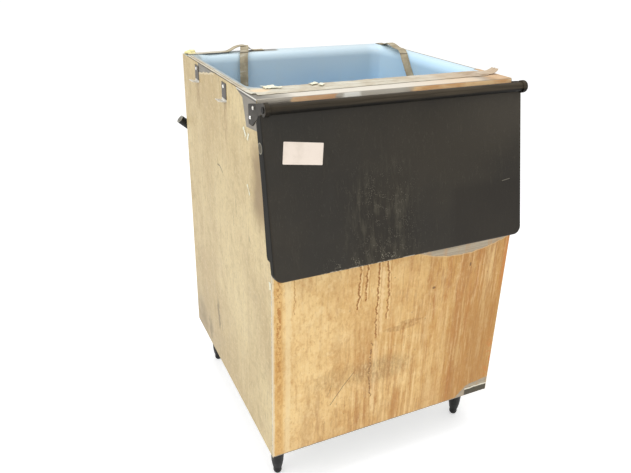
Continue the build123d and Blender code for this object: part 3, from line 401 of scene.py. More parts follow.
def add_tape(shape, route, width, across, relief=0.0005, ragged=0.0008, taper=0.0):
    """Adds a closed strip of foam tape that rises from a line, with a wavy top and uneven, torn edges."""
    line = through([place(x, y, RIM * 1000 + z) for x, y, z in route])
    rows, columns = len(line) - 1, max(6, round(width / TAPE_COLUMN))
    rims = []
    for lift in (0, 1):
        made = bmesh.ops.create_grid(shape, x_segments=columns, y_segments=rows, size=0.5)["verts"]
        for vert in made:
            v, row = vert.co.x, round((vert.co.y + 0.5) * rows)
            centre = line[row]
            along = heading(line, row).normalized()
            side = (across - along * across.dot(along)).normalized()
            up = side.cross(along)
            up = up if up.z > 0 or (abs(up.z) < 0.3 and up.y < 0) else -up
            frayed = noise.noise(centre * 60 + Vector((v * 4, 0, 0))) * ragged * abs(v) * 2
            torn = noise.noise(Vector((v * 9, centre.x * 3, 4))) * TORN_DEPTH if row in (0, rows) else 0.0
            wave = noise.noise(centre * 45 + side * v * 0.9) * relief
            rise = (TAPE_THICKNESS + wave - relief) * (1 - TAPE_CROWN * abs(2 * v) ** 6)
            narrowed = width * (1 - taper * row / rows)
            vert.co = centre + side * (v * narrowed + frayed) + along * torn + up * (rise * lift)
        rims += [edge for vert in made for edge in vert.link_edges if edge.is_boundary]
    bmesh.ops.bridge_loops(shape, edges=unique(rims))
    return shape


def gaskets(tape, old_tape):
    """The foam tapes on the rim: three laid flat or bowed, two ends torn loose and hanging in the bin."""
    sideways, deep = Vector((1, 0, 0)), Vector((0, 1, 0))
    left = add_tape(bmesh.new(), LEFT_TAPE, LEFT_WIDTH, sideways)
    front = add_tape(bmesh.new(), FRONT_TAPE, FRONT_WIDTH, deep, relief=0.0012, ragged=0.003, taper=0.12)
    add_tape(front, FRONT_CURL, CURL_WIDTH, deep, relief=0.0016, ragged=0.003, taper=0.25)
    back = add_tape(bmesh.new(), BACK_STRIP, BACK_WIDTH, deep, relief=0.0008)
    add_tape(back, BACK_TAIL, BACK_WIDTH, sideways, relief=0.0012)
    right = add_tape(bmesh.new(), RIGHT_TAIL, BACK_WIDTH, sideways, relief=0.0008)
    for side, shape, finish in (
        ("left", left, tape),
        ("front", front, tape),
        ("back_left", back, old_tape),
        ("right", right, old_tape),
    ):
        piece(shape, f"gasket_{side}", finish, [f"rim_gasket_{side}"])


def hose_line():
    """The hose's centre line: a smooth curve through its route, turned into points."""
    curve = bpy.data.curves.new("hose_line", "CURVE")
    curve.dimensions = "3D"
    curve.resolution_u = HOSE_STEPS
    spline = curve.splines.new("NURBS")
    spline.points.add(len(HOSE_ROUTE) - 1)
    for point, route in zip(spline.points, HOSE_ROUTE):
        point.co = (*place(*route), 1.0)
    spline.order_u = 3
    spline.use_endpoint_u = True
    holder = bpy.data.objects.new("hose_line", curve)
    line = [v.co.copy() for v in bpy.data.meshes.new_from_object(holder).vertices]
    bpy.data.objects.remove(holder)
    return line


def drain_hose(finish):
    """The drain hose: a tube with an open bore."""
    line = hose_line()
    shape = bmesh.new()
    ends = []
    for radius in (HOSE_DIAMETER / 2, HOSE_BORE / 2):
        rings = []
        for i, centre in enumerate(line):
            turn = heading(line, i).to_track_quat("Z", "Y").to_matrix().to_4x4()
            seat = Matrix.Translation(centre) @ turn
            made = bmesh.ops.create_circle(shape, segments=HOSE_SIDES, radius=radius, matrix=seat)
            rings.append(unique(edge for vert in made["verts"] for edge in vert.link_edges))
        for first, second in zip(rings, rings[1:]):
            bmesh.ops.bridge_loops(shape, edges=first + second)
        ends.append((rings[0], rings[-1]))
    for outer, inner in zip(*ends):
        bmesh.ops.bridge_loops(shape, edges=outer + inner)
    hose = piece(shape, "hose", finish, ["drain_hose"])


def scraps(finish):
    """Torn bits of the film that have stuck to the rim and the side, their ends curled up."""
    shape = bmesh.new()
    upright = Matrix.Rotation(math.radians(-90), 4, "Y")
    for where, (length, width), turn, on_side in SCRAPS:
        made = bmesh.ops.create_grid(shape, x_segments=10, y_segments=6, size=0.5)["verts"]
        stand = upright if on_side else Matrix.Identity(4)
        seat = Matrix.Translation(place(*where)) @ stand @ Matrix.Rotation(math.radians(turn), 4, "Z")
        for vert in made:
            u, v = vert.co.x, vert.co.y
            torn = 1 - 0.55 * abs(noise.noise(Vector((u * 5, v * 5, where[0]))))
            curl = 0.0012 * (2 * u) ** 2 * (0.4 + v) + 0.0004
            vert.co = seat @ Vector((u * length / 1000 * torn, v * width / 1000 * torn, curl))
        faces = unique(face for vert in made for face in vert.link_faces)
        bmesh.ops.solidify(shape, geom=faces, thickness=SCRAP_THICKNESS)
    piece(shape, "film_scraps", finish)


def foam_lump(finish):
    """Foam that has swelled out over the back left corner."""
    shape = bmesh.new()
    bmesh.ops.create_icosphere(shape, subdivisions=4, radius=1.0)
    centre = place(*LUMP_CENTRE)
    wide, deep, high = LUMP_SIZE
    for vert in shape.verts:
        swell = 1 + 0.35 * noise.noise(vert.co * 1.6) + 0.12 * noise.noise(vert.co * 5)
        away = Vector((vert.co.x * wide, vert.co.y * deep, max(vert.co.z, -0.1) * high)) * swell
        vert.co = centre + away
    piece(shape, "foam_lump", finish)


def side_film():
    """Tan film on the sides: faint upright streaks, grime, rust under the hooks, torn off along the top."""
    film = Finish("side_film", Specular_IOR_Level=0.45)
    x, y, z = film.axes()
    left = x.step(0.1, -0.1)
    cloud = film.noise(2.4, 4.0, 0.6)
    mottle = film.noise(26, 5.0, 0.65)
    streak = film.grain(26, 26, 1.4, detail=5.0, roughness=0.6)
    fine = film.grain(160, 160, 22, detail=3.0)
    film.base(cloud.step(0.36, 0.64), (199, 175, 126), (221, 200, 150))
    film.paint(film.noise(7.0, 4.0, 0.6).step(0.50, 0.66) * 0.35, (206, 180, 134))
    film.paint(streak.step(0.50, 0.66) * 0.28, (190, 166, 120))
    film.paint(streak.step(0.46, 0.30) * 0.25, (236, 220, 178))
    film.paint(mottle.step(0.52, 0.68) * 0.36, (180, 158, 116))
    film.paint(fine.step(0.52, 0.68) * 0.34, (168, 146, 104))
    grit = film.noise(120, 4.0, 0.7)
    film.paint(grit.step(0.54, 0.66) * 0.30, (160, 142, 104))
    film.paint(grit.step(0.46, 0.36) * 0.25, (244, 228, 186))
    edge = y - FRONT - (z - KNEE).most(0.0) * SLOPE
    # Painted shade along the front edge, beside the door.
    shade = (edge + (mottle - 0.5) * 0.07 + (z - 0.95) * 0.25).step(0.115, 0.050) * z.band(0.86, 1.05, 0.05)
    film.paint(shade * 0.85 * left, (142, 116, 74))
    film.paint(z.step(0.42, 0.15) * y.step(-0.1, 0.35) * 0.5, (168, 148, 118))
    bend = (film.noise(9.0, 5.0, 0.65) - 0.5) * 0.14
    grime = film.spot(y + bend, z + bend, (0.108, 0.345), (0.020, 0.075), 0.95)
    grime = grime.most(film.spot(y - bend, z, (0.215, 0.215), (0.026, 0.060), 0.95) * 0.8)
    grime = grime.most(film.spot(y, z, (0.330, 0.200), (0.090, 0.110), 0.95) * 0.5)
    film.paint(grime * left * (mottle.step(0.38, 0.62) * 0.35 + 0.40), (124, 104, 74))
    rust = film.spot(y, z, (0.222, 1.075), (0.016, 0.055)) + film.spot(y, z, (-0.055, 1.06), (0.018, 0.075))
    film.paint(rust * left * fine.step(0.3, 0.6) * 0.35, (150, 112, 68))
    wander = (film.noise(60, 2.0) - 0.5) * 0.012
    marks = film.strokes(y + wander, z, SIDE_MARKS)
    film.paint(marks * left * 0.75, (96, 80, 58))
    ragged = (film.noise(38, 4.0) - 0.5) * 0.012

    def above_tear(height, rear):
        over = z - height - (0.212 - y) * 0.17 + ragged
        return over.step(-0.001, 0.001) * y.band(0.045, rear, 0.002) * left

    torn, lip = above_tear(1.144, 0.209), above_tear(1.139, 0.212)
    film.paint(lip * 0.7, (226, 212, 180))
    brushed = film.grain(900, 9, 900, detail=2.0)
    film.paint(torn, film.tint(brushed.step(0.35, 0.65), (128, 124, 114), (152, 147, 136)))
    fold = edge.step(0.0050, 0.0030) * z.step(1.10, 1.06)
    film.paint(fold * 0.75, (238, 230, 210))
    nick = edge.band(0.0030, 0.0060, 0.0008) * film.noise(150, 2.0).step(0.50, 0.56) * z.step(0.80, 0.76)
    film.paint(nick * 0.7, (128, 112, 88))
    wrinkle = film.grain(70, 70, 12, detail=3.0)
    height = (1.0 - torn) + wrinkle * 0.25 + mottle * 0.2
    film.feed(Base_Color=film.colour, Metallic=torn, Roughness=mottle * 0.25 + 0.36 - torn * 0.08,
              Normal=film.bump(height, 0.35, 0.0006))
    film.cover("left_side_panel", "right_side_panel")


def front_grain(film, x, z, streak, thin, worm, ripple):
    """The front film's ground: tan at the left, orange at the right, with streaks and mottling."""
    right = x.step(-0.28, 0.34)
    cloud = film.noise(5.0, 5.0, 0.6)
    broad = film.grain(13, 13, 3.0, detail=5.0, roughness=0.6)
    mottle = film.noise(34, 5.0, 0.7)
    film.base(cloud.step(0.36, 0.64), (222, 180, 114), (244, 210, 146))
    film.paint(right * 0.78, (202, 148, 66))
    film.paint(broad.step(0.48, 0.66) * 0.45, (190, 142, 82))
    bent = x + (cloud - 0.5) * 0.03
    broad_run = bent.band(0.212, 0.236, 0.012) * z.step(0.70, 0.66)
    pale_lane = bent.band(0.160, 0.176, 0.010) + (x + (cloud - 0.5) * 0.02).band(0.318, 0.332, 0.010)
    heavy = (x + broad * 0.10).band(0.250, 0.400, 0.03)
    film.paint(heavy * streak.step(0.36, 0.56) * 0.55, (172, 116, 56))
    film.paint(broad_run * streak.step(0.62, 0.42) * 0.55, (176, 116, 50))
    film.paint(pale_lane.least(1.0) * streak.step(0.40, 0.60) * 0.5, (244, 210, 150))
    film.paint(streak.step(0.50, 0.62) * (right * 0.34 + 0.14), (246, 210, 142))
    film.paint(streak.step(0.47, 0.36) * (right * 0.50 + 0.14), (184, 116, 44))
    film.paint(mottle.step(0.52, 0.64) * 0.34, (200, 140, 68))
    film.paint(mottle.step(0.47, 0.37) * (0.30 - right * 0.20), (250, 224, 168))
    film.paint(thin.step(0.54, 0.66) * (right * 0.34 + 0.12), (158, 94, 34))
    film.paint(thin.step(0.46, 0.36) * (right * 0.30 + 0.14), (244, 210, 154))
    film.paint(worm.step(0.54, 0.66) * (0.32 - right * 0.08), (176, 110, 44))
    film.paint(worm.step(0.46, 0.36) * (0.26 - right * 0.18), (248, 222, 170))
    film.paint(ripple.step(0.54, 0.68) * (0.30 - right * 0.10), (180, 116, 50))
    film.paint(z.step(0.30, 0.16) * 0.20, (196, 146, 84))
    film.paint(x.step(0.12, 0.34) * z.step(0.62, 0.46) * 0.50, (172, 118, 40))


def front_left_edge(film, edge, z, worm, waver):
    """The orange band, its rusty blotches and the pale line beside it, along the front's left edge."""
    film.paint(edge.band(-0.374, -0.351, 0.003) * 0.55, (222, 172, 92))
    blotch = edge.band(-0.368, -0.354, 0.004) * (z.step(0.30, 0.62) * 0.6 + 0.4) * worm.step(0.42, 0.56)
    film.paint(blotch * 0.8, (176, 112, 38))
    film.paint(edge.band(-0.343, -0.328, 0.003) * 0.55, (244, 218, 166))
    film.paint(waver.step(-0.3745, -0.3765) * 0.7, (240, 222, 184))


def water_runs(film, x, z, wander, gaps):
    """Dark runs below the door, each with a painted highlight beside it; returns how deep they lie."""
    runs = film.stroke(x + wander, z, [(-0.318, 0.735), (-0.319, 0.62)], 0.0024) * 0.7
    for run in WATER_RUNS:
        runs = runs.most(film.stroke(x + wander, z, run, 0.0042))
        # A painted highlight beside each run.
        run_highlight = [(across + 0.0045, up) for across, up in run]
        film.paint(film.stroke(x + wander, z, run_highlight, 0.0030) * 0.5, (252, 224, 166))
        beside = [(across + 0.009, up + 0.004) for across, up in run]
        runs = runs.most(film.stroke(x - wander * 0.8, z, beside, 0.0030) * 0.6)
    film.paint(film.strokes(x + wander, z, PALE_RUNS) * 0.6, (246, 214, 158))
    film.paint(runs.step(0.0, 0.5) * 0.30, (214, 148, 66))
    film.paint(runs.step(0.35, 1.0) * (gaps * 0.6 + 0.25), (148, 92, 16))
    return runs


def front_stains(film, x, z, wander, gaps, worm, edge):
    """Columns of dirt in the middle, smears, scratches, specks, and rust along the right edge."""
    column = film.grain(90, 90, 6.5, detail=5.0, roughness=0.65)
    centre = x.band(-0.16, 0.13, 0.05) * z.step(0.60, 0.40)
    film.paint(column.step(0.53, 0.60) * centre * 0.42, (176, 114, 46))
    film.paint(column.step(0.47, 0.40) * centre * 0.42, (252, 222, 162))
    lower = film.grain(75, 75, 14, detail=5.0, roughness=0.65).step(0.51, 0.62)
    patch = x.band(-0.01, 0.36, 0.05) * z.band(0.52, 0.69, 0.05)
    patch = patch + x.band(-0.30, -0.02, 0.08) * z.step(0.60, 0.25)
    film.paint(lower * patch * 0.34, (162, 98, 36))
    low_run = film.stroke(x + wander, z, [(-0.075, 0.47), (-0.078, 0.34), (-0.070, 0.27)], 0.0035)
    film.paint(low_run * gaps * 0.75, (128, 84, 36))
    smear = film.spot(x, z + wander, (0.024, 0.492), (0.066, 0.011))
    smear = smear + film.spot(x, z + wander, (0.052, 0.506), (0.048, 0.008))
    film.paint(smear * (worm.step(0.35, 0.60) * 0.34 + 0.12), (156, 104, 40))
    dirt = film.spot(x, z, (-0.030, 0.362), (0.120, 0.058), 0.95)
    dirt = dirt + film.spot(x, z, (-0.17, 0.37), (0.13, 0.05), 0.95) * 0.5
    film.paint(dirt * (worm.step(0.30, 0.60) * 0.32 + 0.14), (144, 104, 54))
    scratch = film.stroke(x + wander * 0.2, z, [(-0.130, 0.376), (-0.166, 0.334), (-0.203, 0.283)], 0.0016)
    scratch = scratch.most(film.stroke(x, z, [(-0.200, 0.352), (-0.212, 0.318)], 0.0014) * 0.6)
    speck = film.spot(x, z, (0.123, 0.601), (0.0065, 0.0045))
    speck = speck + film.spot(x, z, (0.246, 0.653), (0.0035, 0.0075))
    specks = film.cells(42, at=film.stretched(1, 1, 0.8)).step(0.10, 0.05) * film.noise(7).step(0.50, 0.56)
    film.paint((scratch + speck + specks * 0.6) * 0.75, (104, 68, 32))
    rust = edge.band(0.370, 0.383, 0.004) * z.step(0.52, 0.60)
    rust = rust + film.noise(70).step(0.50, 0.60) * x.step(0.345, 0.375) * z.band(0.20, 0.36, 0.04)
    film.paint(rust * 0.75, (200, 122, 44))


def front_tears(film, x, z, streak):
    """Bare steel under the door, at the bottom right corner and along the foot; returns it and its rim."""
    ragged = (film.noise(45, 4.0) - 0.5) * 0.009
    curve = z - 0.694 - (x - 0.215) * (x - 0.215) * 1.24 + ragged
    bare = curve.step(-0.0006, 0.0006)
    ramp = (0.159 + (x - 0.258) * 0.923).least(0.195 + (x - 0.297) * 0.12)
    corner = (ramp - z + ragged).step(-0.0006, 0.0006)
    foot = (z + ragged * 0.5).step(0.1568, 0.1558)
    torn = bare.most(corner).most(foot)
    lip = curve.step(-0.0036, -0.0030) * x.step(0.05, 0.09)
    film.paint(lip * 0.35, (236, 214, 172))
    brushed = film.grain(9, 900, 900, detail=2.0)
    steel = film.tint(brushed.step(0.35, 0.65), (146, 136, 118), (170, 158, 138))
    steel = film.tint(streak.step(0.48, 0.60) * 0.45, steel, (176, 136, 92))
    gap = corner * x.step(0.291, 0.294) * (z + ragged * 0.4).step(0.1775, 0.1755)
    rim = corner * x.step(0.291, 0.294) * (z + ragged * 0.8).band(0.1765, 0.1815, 0.0006)
    steel = film.tint(gap * 0.9, steel, (62, 60, 50))
    steel = film.tint(rim, steel, (226, 220, 200))
    film.paint(torn, steel)
    return torn, rim


def front_film():
    """Orange tan film on the front: runs, stains and wrinkles, torn under the door and at a corner."""
    film = Finish("front_film", Specular_IOR_Level=0.45)
    x, _, z = film.axes()
    streak = film.grain(46, 46, 2.6, detail=6.0, roughness=0.66)
    thin = film.grain(150, 150, 9.0, detail=4.0, roughness=0.65)
    worm = film.grain(170, 170, 88, detail=4.0, roughness=0.65)
    ripple = film.grain(95, 95, 26, detail=4.0, roughness=0.65)
    uneven = (thin + worm - 1.0) * 0.010
    edge = x + uneven
    wander = (film.grain(20, 20, 60, detail=2.5, roughness=0.6) - 0.5) * 0.019
    gaps = film.grain(40, 40, 130, detail=2.0).step(0.38, 0.50)
    front_grain(film, x, z, streak, thin, worm, ripple)
    front_left_edge(film, edge, z, worm, x + uneven * 0.4)
    runs = water_runs(film, x, z, wander, gaps)
    front_stains(film, x, z, wander, gaps, worm, edge)
    torn, rim = front_tears(film, x, z, streak)
    height = (1.0 - torn) + worm * 0.6 + ripple * 0.5 + thin * 0.3 + runs * 0.2
    film.feed(Base_Color=film.colour, Metallic=torn * (1.0 - rim) * 0.85,
              Roughness=worm * 0.3 + 0.30 - torn * 0.02, Normal=film.bump(height, 0.55, 0.0008))
    film.cover("front_panel")


def header_steel():
    """Bright brushed steel of the header, with milky and orange film left on it, a painted glint on its
    face, painted shade along the face's foot and on its end plates, and painted highlights along the ends'
    folded top edges with painted shadow under them.
    """
    steel = Finish("header_steel")
    x, _, z = steel.axes()
    brushed = steel.grain(8, 700, 700, detail=3.0)
    dull = steel.noise(14, 4.0)
    steel.base(brushed.step(0.30, 0.70), (168, 161, 147), (198, 191, 178))
    steel.paint(dull.step(0.50, 0.68) * 0.4, (146, 138, 122))
    ragged = (steel.grain(30, 60, 60, detail=4.0) - 0.5) * 0.05
    top = z.step(1.1716, 1.1722)
    milk = top * (x + ragged).band(-0.335, 0.290, 0.04)
    steel.paint(milk * 0.9, (220, 213, 199))
    steel.paint(milk * x.step(0.0, 0.26) * 0.6, (222, 190, 150))
    tan = top * (x + ragged).step(0.280, 0.330)
    steel.paint(tan * 0.9, steel.tint(dull.step(0.40, 0.60), (214, 176, 132), (188, 152, 110)))
    face = z.step(1.1716, 1.1704) * abs(x).step(0.3815, 0.3805)
    left = (x + ragged).band(-0.292, -0.166, 0.006) * (z + ragged * 0.12).step(1.156, 1.160)
    right = (x + ragged).step(0.030, 0.060) * (z + ragged * 0.12).step(1.146, 1.150)
    film = face * left.most(right)
    blend = steel.grain(16, 60, 60, detail=4.0).step(0.38, 0.62)
    orange = steel.tint(blend, (234, 178, 120), (252, 214, 160))
    steel.paint(film * 0.95, steel.tint(x.step(-0.10, -0.16) * 0.5, orange, (206, 164, 132)))
    pale = face * (x + ragged).band(-0.155, 0.040, 0.02) * z.step(1.150, 1.158)
    steel.paint(pale * 0.85, (204, 198, 185))
    # Painted shade along the face's foot, above the roll.
    low = face * z.step(1.160, 1.145)
    steel.paint(low * (1.0 - film) * 0.6, (104, 96, 84))
    steel.paint(x.step(-0.27, -0.31) * (1.0 - film) * 0.45, (112, 106, 96))
    # A painted glint on the face's bare steel.
    white = face * (x + ragged * 0.3).band(-0.150, -0.105, 0.006) * (z + ragged * 0.1).step(1.150, 1.156)
    steel.paint(white, (253, 252, 244))
    # The end plates: painted shade on them, a painted highlight along their folded top edge and painted
    # shadow under it.
    end = abs(x).step(0.3805, 0.3812)
    steel.paint(end * 0.55, (112, 104, 92))
    worn = end * z.step(1.1700, 1.1712)
    steel.paint(worn * 0.9, (244, 240, 230))
    shadow = end * z.band(1.1655, 1.1690, 0.0006)
    steel.paint(shadow * 0.75, (46, 42, 36))
    soft = film.most(milk).most(tan).most(pale).most(white)
    steel.feed(Base_Color=steel.colour, Metallic=1.0 - soft * 0.9,
               Roughness=dull * 0.25 + 0.20 + soft * 0.2,
               Normal=steel.bump(brushed + soft * 2, 0.12, 0.0004))
    steel.cover("front_header")


def hook_steel():
    """The scoop hooks: plates painted dark for shade, with tabs painted bright for a highlight."""
    steel = Finish("hook_steel")
    _, _, z = steel.axes()
    brushed = steel.grain(800, 800, 12, detail=3.0)
    smear = steel.noise(40, 4.0)
    # Painted shade on the plates and a painted highlight on the tabs.
    lit_tab = z.step(1.1225, 1.1190)
    steel.base(lit_tab, (62, 56, 48), (240, 237, 228))
    steel.paint(smear.step(0.46, 0.66) * 0.35, (118, 106, 88))
    steel.paint(brushed.step(0.35, 0.65) * 0.3, (96, 88, 76))
    steel.feed(Base_Color=steel.colour, Metallic=1.0 - lit_tab, Roughness=smear * 0.3 + 0.18,
               Normal=steel.bump(brushed, 0.10, 0.0003))
    steel.cover("scoop_hook_rear", "scoop_hook_front")


def steel_finish(name, dark, light, rough, stain, *covered):
    """Stainless steel, brushed upright, with smears and stains."""
    steel = Finish(name, Metallic=1.0)
    brushed = steel.grain(800, 800, 12, detail=3.0)
    smear = steel.noise(22, 4.0)
    steel.base(brushed.step(0.3, 0.7), dark, light)
    steel.paint(smear.step(0.50, 0.66) * 0.5, stain)
    steel.feed(Base_Color=steel.colour, Roughness=smear * 0.3 + rough,
               Normal=steel.bump(brushed, 0.10, 0.0003))
    steel.cover(*covered)


def galvanised():
    """Zinc coated sheet with its spangle."""
    zinc = Finish("galvanised", Metallic=0.85)
    dull = zinc.noise(7, 4.0)
    zinc.base(0.22, (158, 160, 158), zinc.cells(90, out="Color"))
    zinc.paint(0.75, (164, 166, 163))
    zinc.paint(dull.step(0.45, 0.65) * 0.5, (142, 141, 134))
    zinc.paint(zinc.noise(3, 5.0).step(0.58, 0.72) * 0.4, (150, 128, 100))
    zinc.feed(Base_Color=zinc.colour, Roughness=dull * 0.3 + 0.32, Normal=zinc.bump(dull, 0.15, 0.0005))
    zinc.cover("back_panel", "base_pan", "leg_nut_plates")


def liner_plastic():
    """Blue moulded liner with water marks and scuffs, paler towards the top of the back wall, with painted
    light on its rim and right wall and painted shade low beside the right corner.
    """
    blue = Finish("liner_plastic", Specular_IOR_Level=0.5)
    x, y, z = blue.axes()
    cloud = blue.noise(3.0, 4.0)
    runs = blue.grain(24, 24, 1.8, detail=5.0, roughness=0.6)
    scuff = blue.grain(14, 14, 70, detail=4.0)
    blue.base(cloud.step(0.35, 0.65), (166, 206, 238), (182, 218, 244))
    # Paler towards the top of the back wall.
    upper_back_pale = z.step(1.04, 1.15) * 0.55
    blue.paint(upper_back_pale * y.step(0.1, 0.33), (206, 220, 224))
    blue.paint(runs.step(0.52, 0.70) * 0.22, (196, 216, 224))
    blue.paint(scuff.step(0.60, 0.72) * 0.3, (206, 218, 222))
    # Painted light on the rim's rounded lip.
    lip = z.step(1.160, 1.170)
    blue.paint(lip * 0.55, (206, 222, 230))
    # Painted shade low on the back wall, beside the right corner.
    deep = z.step(1.00, 0.91) * x.band(0.14, 0.329, 0.006)
    blue.paint(deep * 0.5, (140, 184, 232))
    # Painted light on the right wall.
    blue.paint(x.step(0.326, 0.3325) * 0.5, (206, 232, 246))
    blue.paint(z.step(0.86, 1.08) * (1.0 - x.step(0.28, 0.34)) * 0.35, (196, 206, 204))
    blue.paint(x.step(0.10, -0.20) * z.step(1.12, 1.02) * 0.5, (216, 226, 226))
    blue.paint(x.step(-0.325, -0.345) * z.step(1.150, 1.165) * 0.8, (146, 156, 154))
    glue = y.step(0.366, 0.372) * x.band(-0.180, -0.055, 0.010) * z.step(1.160, 1.166)
    blue.paint(glue * 0.8, (112, 102, 84))
    seam = x.step(0.3735, 0.3750) * z.step(1.166, 1.169)
    blue.paint(seam * 0.85, (112, 104, 70))
    grime = z.step(0.45, 0.22) * cloud.step(0.4, 0.6) * 0.3
    blue.paint(grime, (128, 140, 138))
    peel = blue.noise(420, 3.0)
    blue.feed(Base_Color=blue.colour, Roughness=scuff * 0.3 + 0.20,
              Normal=blue.bump(peel * 0.4 + cloud, 0.12, 0.0008))
    blue.cover("bin_liner", "door_inner_panel")


def door_plastic():
    """Dark moulded door: scale left by water, dried drips along its foot, a round plug on its left flange,
    painted light at its upper right, painted shade on its side flanges and painted shadow at its lower
    right.
    """
    dark = Finish("door_plastic", Specular_IOR_Level=0.3)
    x, y, z = dark.axes()
    cloud = dark.noise(3.2, 4.0)
    weave = dark.grain(420, 420, 420, detail=3.0)
    runs = dark.grain(60, 60, 3.0, detail=6.0, roughness=0.65)
    hair = dark.grain(300, 300, 7, detail=4.0)
    dark.base(cloud.step(0.35, 0.65), (34, 29, 20), (45, 39, 28))
    # Painted light on the door's upper right.
    dark.paint(x.step(0.05, 0.36) * z.step(0.95, 1.12) * 0.5, (70, 64, 54))
    dark.paint(z.step(1.00, 1.14) * x.step(-0.05, -0.34) * 0.35, (32, 32, 28))
    scale = (x + cloud * 0.08).band(-0.125, 0.055, 0.05) * z.band(0.70, 0.97, 0.07)
    dark.paint(scale * runs.step(0.44, 0.66) * 0.26, (104, 99, 84))
    dark.paint(runs.step(0.56, 0.70) * 0.12, (84, 79, 67))
    dark.paint(hair.step(0.60, 0.74) * 0.14, (100, 95, 82))
    foot = z.step(0.785, 0.752) * x.band(-0.235, -0.02, 0.03)
    speck = dark.cells(330).step(0.30, 0.16) * dark.noise(60).step(0.50, 0.58)
    dark.paint(speck * (foot * 0.85 + scale * 0.25 + 0.04), (188, 180, 158))
    crust = z.step(0.7475, 0.7425) * x.band(-0.25, 0.06, 0.02) * dark.noise(110, 3.0).step(0.48, 0.56)
    dark.paint(crust * 0.95, (232, 222, 198))
    # Painted shade on the door's side flanges.
    shaded_flank = abs(x).step(0.3845, 0.3860)
    dark.paint(shaded_flank * 0.95, dark.tint(hair.step(0.5, 0.7), (19, 17, 13), (34, 31, 25)))
    ring_y, ring_z = (y + 0.340) / 0.0125, (z - 1.064) / 0.0125
    ring = (ring_y * ring_y + ring_z * ring_z).root()
    plug = shaded_flank * x.step(0.0, -0.1)
    dark.paint(plug * ring.step(1.0, 0.85) * 0.8, (104, 98, 84))
    dark.paint(plug * ring.band(0.92, 1.12, 0.05) * 0.8, (168, 162, 146))
    shadow = x.step(0.125, 0.165) * z.step(0.93, 0.89)
    dark.paint(shadow * 0.6, (27, 20, 9))
    scratches = dark.stroke(x, z, [(0.318, 0.905), (0.344, 0.908)], 0.0014)
    dark.paint(scratches * 0.6, (130, 124, 110))
    dark.feed(Base_Color=dark.colour, Roughness=runs * 0.25 + scale * 0.12 + shaded_flank * 0.30 + 0.36,
              Normal=dark.bump(weave + crust * 3 + plug * ring.step(1.0, 0.9) * 4, 0.22, 0.0004))
    dark.cover("door_skin")


def moulded_black(name, tone, worn, rough, *covered, shine=0.3):
    """Black plastic or rubber with dust; a painted highlight on the roll's top, paler on the hose's cut
    end.
    """
    black = Finish(name, Specular_IOR_Level=shine)
    dust = black.noise(18, 5.0, 0.65)
    grain = black.noise(500, 2.0)
    lines = black.grain(9, 260, 260, detail=3.0)
    black.base(dust.step(0.48, 0.70) * 0.55, tone, worn)
    black.paint(lines.step(0.58, 0.74) * 0.3, worn)
    x, _, z = black.axes()
    # A painted highlight along the roll's top.
    top = z.step(1.1535, 1.1600) * (x.step(-0.34, 0.10) * 0.4 + 0.6)
    black.paint(top * (lines.step(0.30, 0.60) * 0.4 + 0.6), (70, 62, 50))
    past_end = (x + HOSE_REACH) * HOSE_LEFTWARD + (z - HOSE_TOP) * HOSE_UPWARD
    cut_end = past_end.step(-0.0028, -0.0016) * x.step(-0.36, -0.38) * z.band(0.90, 1.00, 0.01)
    black.paint(cut_end * 0.85, (168, 166, 156))
    black.feed(Base_Color=black.colour, Roughness=dust * 0.35 + rough,
               Normal=black.bump(grain, 0.18, 0.0003))
    black.cover(*covered)
    return black


def foam_finish(name, light, deep, *covered):
    """Rigid foam with its small cells."""
    foam = Finish(name, Roughness=0.95, Specular_IOR_Level=0.2)
    pores = foam.cells(260)
    cloud = foam.noise(9, 4.0)
    foam.base(cloud.step(0.35, 0.65), deep, light)
    foam.paint(pores.step(0.25, 0.05) * 0.5, deep)
    foam.feed(Base_Color=foam.colour, Normal=foam.bump(pores, 0.5, 0.0012))
    foam.cover(*covered)
    return foam


def tape_finish(name, pale, deep, grime, foot):
    """Foam tape: grey or cream, smeared, browner at the front's ends, with a dark seam and painted shadow
    along its lower edge.
    """
    tape = Finish(name, Specular_IOR_Level=0.25)
    x, y, z = tape.axes()
    cloud = tape.noise(13, 5.0, 0.65)
    smear = tape.grain(20, 70, 40, detail=5.0)
    nap = tape.noise(480, 3.0)
    tape.base(cloud.step(0.38, 0.62), pale, deep)
    tape.paint(smear.step(0.54, 0.72) * 0.45, grime)
    tape.paint(smear.step(0.45, 0.34) * 0.4, (222, 216, 198))
    loose = x.step(-0.235, -0.260) * z.step(1.1715, 1.1730) * y.step(0.30, 0.33)
    tape.paint(loose * 0.7, (206, 200, 184))
    corner = tape.spot(x, y, (-0.342, -0.226), (0.034, 0.022), 0.8)
    tape.paint(corner * 0.7, (232, 204, 166))
    crumpled = x.band(0.262, 0.342, 0.012) * y.step(-0.15, -0.19) * smear.step(0.42, 0.58)
    tape.paint(crumpled * 0.55, (116, 102, 82))
    crease = y.band(-0.2335, -0.2315, 0.0006) * smear.step(0.40, 0.52) * z.step(1.170, 1.172)
    tape.paint(crease * 0.5, (112, 100, 82))
    tape.paint(x.step(0.0, 0.30) * y.step(-0.15, -0.19) * 0.35, (190, 152, 118))
    seam = x.band(-0.3735, -0.3715, 0.0005) * y.step(-0.19, -0.17)
    # Painted shadow along the tape's lower edge.
    low = z.step(1.1742, 1.1738) * z.step(1.1700, 1.1705)
    tape.paint((seam + low) * foot, (64, 54, 42))
    tape.feed(Base_Color=tape.colour, Roughness=cloud * 0.3 + 0.6,
              Normal=tape.bump(nap * 0.5 + smear, 0.35, 0.0008))
    return tape


